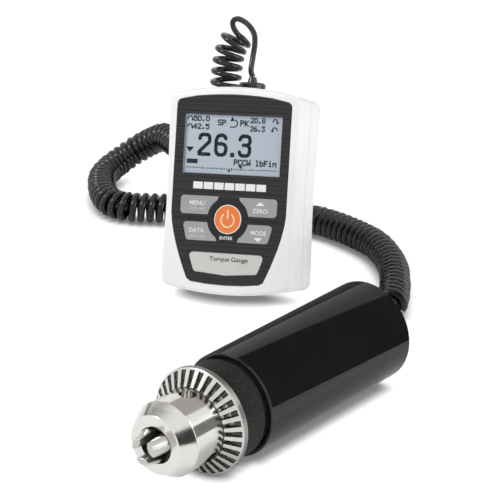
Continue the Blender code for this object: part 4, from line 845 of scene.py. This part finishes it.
def spun(profile, steps):
    """A closed profile of (place forward of the handle, radius) points, turned about the sensor's axis."""
    bm = bmesh.new()
    verts = [bm.verts.new((SENSOR_X - s, SENSOR_Y, SENSOR_HEIGHT + r)) for s, r in profile]
    edges = [bm.edges.new(pair) for pair in zip(verts, verts[1:] + verts[:1])]
    for edge in list(edges):
        if all(abs(end.co.z - SENSOR_HEIGHT) < MERGE for end in edge.verts):
            edges.remove(edge)
            bm.edges.remove(edge)
    centre = AXIS.to_translation()
    whole = verts + edges
    bmesh.ops.spin(bm, geom=whole, cent=centre, axis=(1, 0, 0), angle=math.tau, steps=steps, use_merge=True)
    bmesh.ops.remove_doubles(bm, verts=bm.verts, dist=MERGE)
    return bm


def round_axis(forward, radius, angle):
    """A point round the sensor's axis, its angle measured from straight up towards +Y."""
    y = SENSOR_Y + radius * math.sin(angle)
    z = SENSOR_HEIGHT + radius * math.cos(angle)
    return Vector((SENSOR_X - forward, y, z))


def add_taper(bm, wide, narrow, length, place, steps=BORE_STEPS):
    """A closed round bar along its place's own Z, with a radius at each end."""
    bmesh.ops.create_cone(
        bm, cap_ends=True, segments=steps, radius1=wide, radius2=narrow, depth=length, matrix=place
    )


def add_rod(bm, start, end, radius):
    along = end - start
    place = Matrix.Translation((start + end) / 2) @ along.to_track_quat("Z", "Y").to_matrix().to_4x4()
    add_taper(bm, radius, radius, along.length, place)


def place_on_axis(face):
    """How far forward a face's middle lies, and how far out from the sensor's axis."""
    centre = face.calc_center_median()
    return SENSOR_X - centre.x, math.hypot(centre.y - SENSOR_Y, centre.z - SENSOR_HEIGHT)


def jaw_angle(number):
    return CHUCK_TURN + math.tau * (number + 0.5) / JAW_COUNT


def jaw_point(forward, angle):
    away = JAW_RADIUS_AT_NOSE + (CHUCK_NOSE - forward) * math.tan(JAW_TILT)
    return round_axis(forward, away, angle)


def chuck_body():
    """The nose, cone and cylinder in fine steps, with the jaws' bores and the key's pilot holes cut in."""
    profile = eased(
        [
            (CHUCK_NOSE, MOUTH_RADIUS, 0.0003),
            (CHUCK_NOSE, NOSE_RADIUS, 0.0003),
            (CONE_START, BODY_RADIUS, 0.0003),
            (SLEEVE_FRONT, BODY_REAR_RADIUS, 0),
            (BODY_SHOULDER, BODY_REAR_RADIUS, 0),
            (BODY_SHOULDER, BODY_NUT_RADIUS, 0),
            (BODY_REAR, BODY_NUT_RADIUS, 0),
            (BODY_REAR, HUB_RADIUS, 0),
            (HUB_REAR, HUB_RADIUS, 0),
            (HUB_REAR, SPINDLE_BORE_RADIUS, 0),
            (SPINDLE_BORE_FRONT, SPINDLE_BORE_RADIUS, 0),
            (SPINDLE_BORE_FRONT, 0, 0),
            (BODY_SHOULDER, 0, 0),
            (BODY_SHOULDER, WORK_BORE_RADIUS, 0),
            (CHUCK_NOSE - MOUTH_DEPTH, WORK_BORE_RADIUS, 0),
            (CHUCK_NOSE - MOUTH_DEPTH, MOUTH_RADIUS - CLEAR, 0),
        ]
    )
    bm = spun(profile, ROUND_STEPS)
    for number in range(JAW_COUNT):
        angle = jaw_angle(number)
        bore = bmesh.new()
        start = jaw_point(CHUCK_NOSE + JAW_RADIUS * 2, angle)
        end = jaw_point(BODY_REAR - JAW_RADIUS * 2, angle)
        add_rod(bore, start, end, JAW_RADIUS + CLEAR)
        bm = carved(bm, bore)
    holes = bmesh.new()
    for number in range(JAW_COUNT):
        angle = CHUCK_TURN + math.tau * number / JAW_COUNT
        start = round_axis(KEY_HOLE_PLACE, BODY_RADIUS - KEY_HOLE_DEPTH, angle)
        end = round_axis(KEY_HOLE_PLACE, BODY_RADIUS * CUT_PAST, angle)
        add_rod(holes, start, end, KEY_HOLE_RADIUS)
    bm = carved(bm, holes)
    # Faces inside the mouth and the bores take a near-black, matte finish: painted shade.
    for face in bm.faces:
        forward, away = place_on_axis(face)
        inside = forward < CHUCK_NOSE - CLEAR and away < BODY_RADIUS - KEY_HOLE_DEPTH
        face.material_index = 1 if inside else 0
    finishes = (FINISHES["bright_steel"], FINISHES["painted_shade_bore"])
    settle("chuck_nose_and_body", bm, finishes, "gauge", ("chuck_body",))


def sleeve_front(radius):
    share = (radius - BODY_REAR_RADIUS) / (RIM_RADIUS - BODY_REAR_RADIUS)
    return SLEEVE_FRONT + (RIM_FRONT - SLEEVE_FRONT) * share


def slot_ring(bm, radius, half, floor, angle):
    """A U-shaped ring of points across a slot, open towards the chuck's nose."""
    turns = [math.pi * step / SLOT_STEPS for step in range(SLOT_STEPS + 1)]
    floor_points = [(-half * math.cos(turn), floor + half * (1 - math.sin(turn))) for turn in turns]
    clear_of_front = SLEEVE_FRONT + half * 4
    ring = []
    for across, forward in [(-half, clear_of_front), *floor_points, (half, clear_of_front)]:
        ring.append(bm.verts.new(round_axis(forward, radius, angle) + sideways(angle) * across))
    return ring


def sideways(angle):
    return Vector((0, math.cos(angle), -math.sin(angle)))


def toothed_sleeve():
    """The sleeve's turned blank, with round-ended slots between its teeth."""
    rim_rear = RIM_FRONT - RIM_WIDTH
    profile = eased(
        [
            (SLEEVE_REAR, SLEEVE_SEAT, 0),
            (BODY_SHOULDER, SLEEVE_SEAT, 0),
            (BODY_SHOULDER, SLEEVE_BORE, 0),
            (sleeve_front(SLEEVE_BORE), SLEEVE_BORE, 0.0002),
            (RIM_FRONT, RIM_RADIUS, 0.0003),
            (rim_rear, RIM_RADIUS, 0.0003),
            (rim_rear, SLEEVE_BARREL_RADIUS, 0),
            (SLEEVE_REAR, SLEEVE_BARREL_RADIUS, 0.0002),
        ]
    )
    bm = spun(profile, RIM_STEPS)
    slots = bmesh.new()
    for tooth in range(TOOTH_COUNT):
        angle = math.tau * (tooth + SLOT_PLACE) / TOOTH_COUNT
        rings = [slot_ring(slots, *size, angle) for size in (SLOT_INNER, SLOT_OUTER)]
        for ring in rings:
            slots.faces.new(ring)
        count = len(rings[0])
        loops = [slots.edges.get((ring[i], ring[(i + 1) % count])) for ring in rings for i in range(count)]
        bmesh.ops.bridge_loops(slots, edges=loops)
    bm = carved(bm, slots)
    # Faces sunk in the slots between the teeth take darker steel: painted shade.
    for face in bm.faces:
        forward, away = place_on_axis(face)
        sunk = sleeve_front(away) - forward
        toothed = SLEEVE_BORE - CLEAR < away < SLOT_OUTER[0] + CLEAR
        if toothed and SLOT_DEPTH_SEEN < sunk < SLEEVE_FRONT - RIM_FRONT + CLEAR:
            face.material_index = 1
        else:
            face.material_index = 2 if away > RIM_RADIUS - CLEAR / 2 else 0
    # The rim's outer band takes darker, rougher steel: painted shade, standing in for a dimmer reflection.
    finishes = (FINISHES["gear_steel"], FINISHES["painted_shade_slot_steel"], FINISHES["painted_shade_rim_steel"])
    settle("toothed_sleeve", bm, finishes, "sleeve", ("chuck_sleeve",))


def jaw(number, body):
    """A round jaw cut to two grip faces and a narrow land, with its edges eased."""
    angle = jaw_angle(number)
    tip = CHUCK_NOSE + JAW_REACH
    tail = tip - JAW_LENGTH * math.cos(JAW_TILT)
    outwards = Vector((0, math.sin(angle), math.cos(angle)))
    across = sideways(angle)
    slope = math.pi / 2 - math.pi / JAW_COUNT
    land = round_axis(tip, JAW_OPENING, angle)
    bm = bmesh.new()
    add_rod(bm, jaw_point(tail, angle), jaw_point(tip + JAW_RADIUS, angle), JAW_RADIUS)
    cuts = [(round_axis(tip, 0, angle), Vector((-1, 0, 0))), (land, -outwards)]
    for side in (-1, 1):
        edge = land + across * JAW_LAND * side
        cuts.append((edge, -(outwards * math.cos(slope) - across * math.sin(slope) * side)))
    for place, away in cuts:
        geom = bm.verts[:] + bm.edges[:] + bm.faces[:]
        made = bmesh.ops.bisect_plane(bm, geom=geom, plane_co=place, plane_no=away, clear_outer=True)
        rim = [item for item in made["geom_cut"] if isinstance(item, bmesh.types.BMEdge)]
        bmesh.ops.contextual_create(bm, geom=rim)
    bmesh.ops.recalc_face_normals(bm, faces=bm.faces)
    crisp = [edge for edge in bm.edges if edge.is_manifold and edge.calc_face_angle() > SHARP_EDGE]
    bmesh.ops.bevel(
        bm, geom=crisp, offset=JAW_EDGE, segments=JAW_EDGE_STEPS, profile=0.5, affect="EDGES", material=-1
    )
    node_name = f"jaw_{number + 1}"
    settle(f"ground_{node_name}", bm, (FINISHES["ground_steel"],), body, (node_name,))


def add_slab(bm, outline, low):
    """A thin slab of an outline in the face's plane, its lower side at a height over the face."""
    base = bm.faces.new([bm.verts.new((x, y, low)) for x, y in outline])
    raised = bmesh.ops.extrude_face_region(bm, geom=[base])["geom"]
    tops = [item for item in raised if isinstance(item, bmesh.types.BMVert)]
    bmesh.ops.translate(bm, verts=tops, vec=(0, 0, PRINT_THICK))


def add_band(bm, centre, inner, outer, start, end, low, steps=BAND_STEPS):
    """A thin flat band along an arc, with angles counterclockwise from the right."""
    turns = [start + (end - start) * i / steps for i in range(steps + 1)]
    outside = [(centre[0] + outer * math.cos(a), centre[1] + outer * math.sin(a)) for a in turns]
    inside = [(centre[0] + inner * math.cos(a), centre[1] + inner * math.sin(a)) for a in reversed(turns)]
    add_slab(bm, outside + inside, low)


def add_box(bm, left, bottom, right, top, low):
    add_slab(bm, [(left, bottom), (right, bottom), (right, top), (left, top)], low)


def add_words(bm, words, centre, width, height, low, thicken=0.0):
    """Words set to a width and a height, standing a hair over the surface under them."""
    letters = bpy.data.curves.new("letters", "FONT")
    letters.body = words
    letters.size = height
    letters.offset = thicken
    letters.resolution_u = LETTER_STEPS
    letters.extrude = PRINT_THICK / 2
    holder = linked("letters", letters)
    mesh = bpy.data.meshes.new_from_object(holder.evaluated_get(bpy.context.evaluated_depsgraph_get()))
    xs = [point.co.x for point in mesh.vertices]
    ys = [point.co.y for point in mesh.vertices]
    across, up = width / (max(xs) - min(xs)), height / (max(ys) - min(ys))
    middle = Vector(((max(xs) + min(xs)) / 2, (max(ys) + min(ys)) / 2, 0))
    size = Matrix.Diagonal((across, up, 1, 1))
    mesh.transform(Matrix.Translation((*centre, low + PRINT_THICK / 2)) @ size @ Matrix.Translation(-middle))
    bm.from_mesh(mesh)
    bpy.data.objects.remove(holder)
    bpy.data.curves.remove(letters)
    bpy.data.meshes.remove(mesh)


def add_triangle(bm, centre, half_width, height, low):
    """A triangle that points up, or down where its height is negative."""
    x, y = centre
    add_slab(bm, [(x - half_width, y), (x + half_width, y), (x, y + height)], low)


def settle_print(name, bm, finish, body):
    """Takes print from the face's own frame to its place on the indicator."""
    bmesh.ops.transform(bm, matrix=FACE, verts=bm.verts)
    settle(name, bm, (FINISHES[finish],), body)


def print_keys():
    for key, words in KEY_WORDS.items():
        bm = bmesh.new()
        word, centre, width = words[0]
        add_words(bm, word, centre, width, KEY_WORD_HEIGHT, KEY_TOP, BOLDER)
        if key in KEY_ARROWS:
            add_triangle(bm, *KEY_ARROWS[key], KEY_TOP)
        settle_print(f"{key}_words", bm, "white_print", f"{key}_key")
        for word, centre, width in words[1:]:
            bm = bmesh.new()
            add_words(bm, word, centre, width, SMALL_WORD_HEIGHT, KEY_TOP)
            settle_print(f"{key}_small_words", bm, "pale_print", f"{key}_key")
    bm = bmesh.new()
    x, y = POWER_CENTRE
    low, high = SIGN_BAR_HEIGHTS
    add_band(bm, (x, y - SIGN_DROP), *SIGN_RADII, *SIGN_TURN, KEY_TOP)
    add_box(bm, x - SIGN_BAR_HALF, y + low, x + SIGN_BAR_HALF, y + high, KEY_TOP)
    settle_print("power_sign", bm, "warm_print", "power_key")


def print_overlay():
    """The word under the power key, a row of plain pale tiles under the display, and the plate's words."""
    bm = bmesh.new()
    add_words(bm, *ENTER_WORD, FILM_TOP, BOLDER)
    settle_print("enter_word", bm, "white_print", "gauge")
    bm = bmesh.new()
    bottom, top = TILE_HEIGHTS
    for number in range(TILE_COUNT):
        left = TILE_START + number * TILE_STEP
        add_box(bm, left, bottom, left + TILE_WIDTH, top, FILM_TOP)
    settle_print("plain_tiles", bm, "white_print", "gauge")
    bm = bmesh.new()
    add_words(bm, *PLATE_WORDS, PLATE_TOP, BOLDER)
    settle_print("plate_words", bm, "dark_print", "gauge")


def add_dots(bm, words, left, right, bottom, height):
    """Words in dots, filling the given width and height."""
    across = (right - left) / (len(words) * (DOT_COLUMNS + 1) - 1)
    up = height / DOT_ROWS_TALL
    for place, letter in enumerate(words):
        for row, dots in enumerate(DOTS[letter].split()):
            for column, dot in enumerate(dots):
                if dot == "#":
                    x = left + (place * (DOT_COLUMNS + 1) + column) * across
                    y = bottom + height - (row + 1) * up
                    add_box(bm, x, y, x + across * DOT_REACH, y + up * DOT_REACH, INK_LOW)


def add_turn_arrow(bm, centre, clockwise):
    """A small bent arrow: a bow over the top, and a head that points down at one end."""
    x, y = centre
    size = TURN_ARROW_RADIUS
    start, end = TURN_ARROW_BOW if clockwise else reversed(TURN_ARROW_BOW)
    add_band(bm, centre, size * TURN_ARROW_INNER, size, start, end, INK_LOW, TURN_ARROW_STEPS)
    out, down, half_width, length = (size * share for share in TURN_ARROW_HEAD)
    head = (x + out if clockwise else x - out, y - down)
    add_triangle(bm, head, half_width, -length, INK_LOW)


def add_stroke(bm, points):
    """A thin flat line through the points, round at its ends and corners."""
    half = READING_STROKE / 2
    for x, y in points:
        turns = [math.tau * step / STROKE_STEPS for step in range(STROKE_STEPS)]
        add_slab(bm, [(x + half * math.cos(turn), y + half * math.sin(turn)) for turn in turns], INK_LOW)
    for (x1, y1), (x2, y2) in zip(points, points[1:]):
        x, y = Vector((x2 - x1, y2 - y1)).normalized() * half
        add_slab(bm, [(x1 - y, y1 + x), (x2 - y, y2 + x), (x2 + y, y2 - x), (x1 + y, y1 - x)], INK_LOW)


def add_figure(bm, figure, left):
    width, height = (size - READING_STROKE for size in READING_SIZE)
    left, bottom = left + READING_STROKE / 2, READING_FOOT + READING_STROKE / 2
    for stroke in FIGURES[figure]:
        add_stroke(bm, [(left + x / 100 * width, bottom + y / 100 * height) for x, y in stroke])


def display_reading():
    """What the display shows, drawn just over its glass."""
    bm = bmesh.new()
    for row in DOT_ROWS:
        add_dots(bm, *row)
    for figure, left in READING:
        add_figure(bm, figure, left)
    for arrow in TURN_ARROWS:
        add_turn_arrow(bm, *arrow)
    add_band(bm, BOW_CENTRE, *BOW_RADII, *BOW_TURN, INK_LOW, BOW_STEPS)
    for box in (POINT_BOX, BOW_FOOT, CHARGE_MARK):
        add_box(bm, *box, INK_LOW)
    for left, right in SCALE_ENDS:
        add_box(bm, left, SCALE_HEIGHT, right, SCALE_HEIGHT + SCALE_LINE, INK_LOW)
    for mark in range(SCALE_MARKS):
        x = SCALE_START + mark * SCALE_STEP
        half = SCALE_TALL[mark % len(SCALE_TALL)] / 2
        add_box(bm, x, SCALE_HEIGHT - half, x + SCALE_MARK_WIDTH, SCALE_HEIGHT + half, INK_LOW)
    for triangle in (BOW_HEAD, SIDE_MARK, *SCALE_POINTERS):
        add_triangle(bm, *triangle, INK_LOW)
    settle_print("display_reading", bm, "display_ink", "gauge")


def smooth_route(points, step):
    """Points about a step apart along a smooth curve through the route's own points."""
    points = [Vector(point) for point in points]
    ends = [2 * points[0] - points[1], *points, 2 * points[-1] - points[-2]]
    fine = []
    for a, b, c, d in zip(ends, ends[1:], ends[2:], ends[3:]):
        for i in range(FINE_STEPS):
            t = i / FINE_STEPS
            bend, twist = 2 * a - 5 * b + 4 * c - d, 3 * b - a - 3 * c + d
            fine.append(0.5 * (2 * b + (c - a) * t + bend * t**2 + twist * t**3))
    fine.append(points[-1])
    lengths = [0.0]
    for a, b in zip(fine, fine[1:]):
        lengths.append(lengths[-1] + (b - a).length)
    count = max(round(lengths[-1] / step), 2)
    spaced = []
    k = 0
    for i in range(count + 1):
        along = lengths[-1] * i / count
        while k < len(fine) - 2 and lengths[k + 1] < along:
            k += 1
        share = (along - lengths[k]) / max(lengths[k + 1] - lengths[k], 1e-9)
        spaced.append(fine[k].lerp(fine[k + 1], min(share, 1)))
    return spaced


def pitch_at(share):
    """How far apart the turns lie at a share of the curl's length."""
    for (a, low), (b, high) in zip(PITCHES, PITCHES[1:]):
        if share <= b:
            return low + (high - low) * (share - a) / (b - a)
    return PITCHES[-1][1]


def nearest(route, place):
    return min(range(len(route)), key=lambda i: (route[i] - Vector(place)).length)


def eased_share(value, low, high):
    """A value's share of a range, easing in and out at the ends."""
    share = min(max((value - low) / (high - low), 0), 1)
    return share * share * (3 - 2 * share)


def cord_points(leave):
    """The cord's points, and its thickness at each: a plain tail, turns round the curly route, a tail."""
    tail = smooth_route([leave, *INDICATOR_TAIL], TAIL_STEP)
    route = smooth_route([*CURL_ROUTE, *HANDLE_TAIL], ROUTE_STEP)
    last = nearest(route, CURL_ROUTE[-1])
    ahead = (route[1] - route[0]).normalized()
    side = (tail[-1] - route[0] - ahead * (tail[-1] - route[0]).dot(ahead)).normalized()
    made = [(point, 1.0) for point in tail]
    phase, turned_at, placed_at = COIL_STARTS_AT, COIL_STARTS_AT, 0.0
    for i, here in enumerate(route):
        ahead = (route[min(i + 1, len(route) - 1)] - route[max(i - 1, 0)]).normalized()
        side = (side - ahead * side.dot(ahead)).normalized()
        across = side.cross(ahead)
        share = i / last
        ramp = eased_share((last - i) * ROUTE_STEP, 0, COIL_RAMP)
        thickness = 1 + (FULL_JACKET - 1) * eased_share(share, *JACKET_SWELLS) * ramp
        wide = UPPER_COIL_RADIUS + (COIL_RADIUS - UPPER_COIL_RADIUS) * eased_share(share, *JACKET_SWELLS)
        if ramp > 0:
            phase += math.tau * ROUTE_STEP / (pitch_at(share) * (1 + LAST_TURN_OPENS * (1 - ramp) ** 2))
        turned = ramp > 0 and phase - turned_at >= math.tau / TURN_POINTS
        if turned or (ramp < PLAIN_RAMP and i * ROUTE_STEP - placed_at >= TAIL_STEP):
            turned_at, placed_at = phase, i * ROUTE_STEP
            turn = (side * math.cos(phase) + across * math.sin(phase)) * wide * ramp
            made.append((here + turn, thickness))
    made.append((route[-1], 1.0))
    return made


def curly_cord():
    leave = FACE @ Vector((0, GLAND_TIP, -GLAND_DEPTH))
    made_points = cord_points(leave)
    points = [point for point, thickness in made_points]
    data = bpy.data.curves.new("curly_cord", "CURVE")
    data.dimensions = "3D"
    data.bevel_depth = CORD_DIAMETER / 2
    data.bevel_resolution = JACKET_STEPS
    data.use_fill_caps = True
    spline = data.splines.new("POLY")
    spline.points.add(len(points) - 1)
    for target, (point, thickness) in zip(spline.points, made_points):
        target.co = (*point, 1)
        target.radius = thickness
    data.materials.append(FINISHES["cord_jacket"])
    made = linked("curly_cord", data)
    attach(made, "gauge")
    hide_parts("cord_curl", "cord_tail_indicator", "cord_tail_sensor")


def screw_heads():
    """The screws' heads in fine steps, each with a cross cut into it."""
    rear = FACE @ Matrix.Rotation(math.pi, 4, "X")
    for number, (screw, (x, y)) in enumerate(zip(SCREWS, SCREW_PLACES), 1):
        bm = bmesh.new()
        place = Matrix.Translation((x, -y, SCREW_TOP - SCREW_HEAD_HEIGHT / 2))
        add_taper(bm, *SCREW_HEAD_RADII, SCREW_HEAD_HEIGHT, place, SCREW_STEPS)
        for size in ((CROSS_LENGTH, CROSS_WIDTH), (CROSS_WIDTH, CROSS_LENGTH)):
            arm = bmesh.new()
            place = Matrix.Translation((x, -y, CASE_DEPTH)) @ Matrix.Diagonal((*size, CROSS_DEPTH, 1))
            bmesh.ops.create_cube(arm, size=1, matrix=place)
            bm = carved(bm, arm)
        bmesh.ops.transform(bm, matrix=rear, verts=bm.verts)
        settle(f"screw_head_{number}", bm, (FINISHES["steel"],), "gauge", (screw,))


def bare_tree(owner):
    """The emptied node tree of a material or a world."""
    owner.use_nodes = True
    owner.node_tree.nodes.clear()
    return owner.node_tree


def make_world():
    """White where the camera, a reflection or a clear pane sees it, and a little dimmer as a lamp."""
    world = bpy.data.worlds.new("studio")
    bpy.context.scene.world = world
    tree = bare_tree(world)
    path = node(tree, "LightPath").outputs
    seen = sums(tree, "MAXIMUM", path["Is Camera Ray"], path["Is Glossy Ray"])
    seen = sums(tree, "MAXIMUM", seen, path["Is Transmission Ray"])
    lamp = node(tree, "Background", {"Color": (1, 1, 1, 1), "Strength": SKY_LEVEL})
    shown = node(tree, "Background", {"Color": (1, 1, 1, 1), "Strength": 1.0})
    mixed = node(tree, "MixShader", {0: seen, 1: lamp.outputs[0], 2: shown.outputs[0]})
    node(tree, "OutputWorld", {"Surface": mixed.outputs[0]})


def make_lamps():
    for name, (place, target, size, power) in LAMPS.items():
        data = bpy.data.lights.new(name, "AREA")
        data.shape = "SQUARE"
        data.size = size
        data.energy = power
        made = linked(name, data)
        made.location = place
        made.rotation_euler = (Vector(target) - Vector(place)).to_track_quat("-Z", "Y").to_euler()


def make_floor():
    """A plain pale floor, bright where the camera sees it, with a soft shadow close under what it carries."""
    bm = bmesh.new()
    bmesh.ops.create_grid(bm, x_segments=1, y_segments=1, size=FLOOR_SIZE)
    bmesh.ops.translate(bm, verts=bm.verts, vec=(0, 0, -FLOOR_DROP))
    made = detached("floor", bm)
    finish = bpy.data.materials.new("floor")
    tree = bare_tree(finish)
    path = node(tree, "LightPath").outputs
    card = node(tree, "BsdfDiffuse", {"Color": (1, 1, 1, 1)})
    open_sky = node(tree, "AmbientOcclusion", {"Distance": SHADOW_REACH}, samples=16).outputs["AO"]
    level = spread(tree, open_sky, *SHADOW_FADE, SHADOW_LEVEL, FLOOR_SHINE)
    glow = node(tree, "Emission", {"Color": (1, 1, 1, 1), "Strength": level})
    share = sums(tree, "MULTIPLY", path["Is Camera Ray"], FLOOR_GLOW)
    mixed = node(tree, "MixShader", {0: share, 1: card.outputs[0], 2: glow.outputs[0]})
    node(tree, "OutputMaterial", {"Surface": mixed.outputs[0]})
    made.data.materials.append(finish)


def card(name, bm, tone):
    """A studio card that only reflections see."""
    made = detached(name, bm)
    finish = bpy.data.materials.new(name)
    tree = bare_tree(finish)
    glow = node(tree, "Emission", {"Color": CARD_COLOUR, "Strength": tone})
    node(tree, "OutputMaterial", {"Surface": glow.outputs[0]})
    made.data.materials.append(finish)
    for ray in ("camera", "diffuse", "shadow", "transmission", "volume_scatter"):
        setattr(made, f"visible_{ray}", False)


def round_card(name, front, rear, tone):
    """A card curved round the sensor's axis. Each end is (place forward, lowest angle, highest angle)."""
    bm = bmesh.new()
    loops = []
    for forward, low, high in (front, rear):
        angles = [math.radians(low + (high - low) * i / CARD_STEPS) for i in range(CARD_STEPS + 1)]
        points = [bm.verts.new(round_axis(forward, CARD_RADIUS, angle)) for angle in angles]
        loops += [bm.edges.new(pair) for pair in zip(points, points[1:])]
    bmesh.ops.bridge_loops(bm, edges=loops)
    card(name, bm, tone)


def flat_card(name, corners, tone):
    bm = bmesh.new()
    bm.faces.new([bm.verts.new(corner) for corner in corners])
    card(name, bm, tone)


def studio_cards():
    for name, (front, rear, tone) in ROUND_CARDS.items():
        round_card(name, front, rear, tone)
    for name, (corners, tone) in FLAT_CARDS.items():
        flat_card(name, corners, tone)


def smooth_solid(part):
    """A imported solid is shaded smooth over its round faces, and crisp at its edges."""
    mesh = part.data
    if mesh.has_custom_normals:
        mesh.attributes.remove(mesh.attributes["custom_normal"])
    mesh.shade_smooth()
    weld = part.modifiers.new("joined", "WELD")
    weld.merge_threshold = MERGE
    split = part.modifiers.new("crisp_edges", "EDGE_SPLIT")
    split.split_angle = SHARP_EDGE


def finish_solids():
    for slot, names in SOLID_FINISHES.items():
        for name in names:
            part = nodes[name]
            part.data.materials.clear()
            part.data.materials.append(FINISHES[slot])
            smooth_solid(part)


GRAIN = grain_group()
EDGES = edge_group()
DUST = dust_group()
TURNING = turning_group()
FINISHES = {
    "white_plastic": plain_moulding(
        "white_plastic", (0.85, 0.85, 0.84), 0.40, grain=3000.0, depth=0.00001, edge=0.3
    ),
    "overlay_film": overlay_film(),
    "silver_foil": silver_foil(),
    "clear_window": clear_window(),
    "display_glass": liquid_crystal(),
    "key_grey": plain_moulding("key_grey", (0.32, 0.32, 0.325), 0.45, grain=4000.0, depth=0.00001),
    "key_orange": power_orange(),
    "silicone": plain_moulding("silicone", (0.18, 0.18, 0.18), 0.7),
    "board_green": circuit_green(),
    "battery_wrap": plain_moulding("battery_wrap", (0.05, 0.13, 0.33), 0.35, depth=0.00001),
    "steel": turned_metal("steel", (0.62, 0.61, 0.59), 0.26),
    "bright_steel": turned_metal("bright_steel", (0.77, 0.755, 0.725), 0.12),
    "gear_steel": turned_metal("gear_steel", (0.66, 0.65, 0.63), 0.22, depth=0.000006),
    "painted_shade_rim_steel": turned_metal("painted_shade_rim_steel", (0.36, 0.355, 0.34), 0.34, depth=0.000006),
    "ground_steel": turned_metal("ground_steel", (0.58, 0.57, 0.545), 0.30, depth=0.000012, rings=2600.0),
    "painted_shade_slot_steel": turned_metal("painted_shade_slot_steel", (0.10, 0.10, 0.095), 0.42, depth=0.000006),
    "painted_shade_bore": plain_moulding("painted_shade_bore", (0.010, 0.010, 0.010), 0.5, grain=1500.0, edge=0.1),
    "socket_black": plain_moulding("socket_black", (0.02, 0.02, 0.02), 0.4),
    "black_plastic": plain_moulding("black_plastic", (0.006, 0.006, 0.006), 0.20, edge=0.12, dust=0.02),
    "black_anodised": black_anodised(),
    "grey_coating": grey_coating(),
    "rubber": plain_moulding("rubber", (0.014, 0.014, 0.014), 0.6, edge=0.12, dust=0.12),
    "cord_jacket": cord_jacket(),
    "white_print": printed("white_print", (0.80, 0.80, 0.79)),
    "warm_print": printed("warm_print", (0.88, 0.66, 0.44)),
    "dark_print": printed("dark_print", (0.035, 0.035, 0.035)),
    "pale_print": printed("pale_print", (0.62, 0.62, 0.62)),
    "display_ink": printed("display_ink", (0.008, 0.011, 0.022), Specular_IOR_Level=0.1),
}

bpy.context.scene.view_settings.view_transform = "Standard"
make_camera()
curly_cord()
make_world()
make_floor()
make_lamps()
studio_cards()
finish_solids()
chuck_body()
toothed_sleeve()
for number, body in enumerate(("first_jaw", "second_jaw", "third_jaw")):
    jaw(number, body)
print_keys()
print_overlay()
display_reading()
screw_heads()
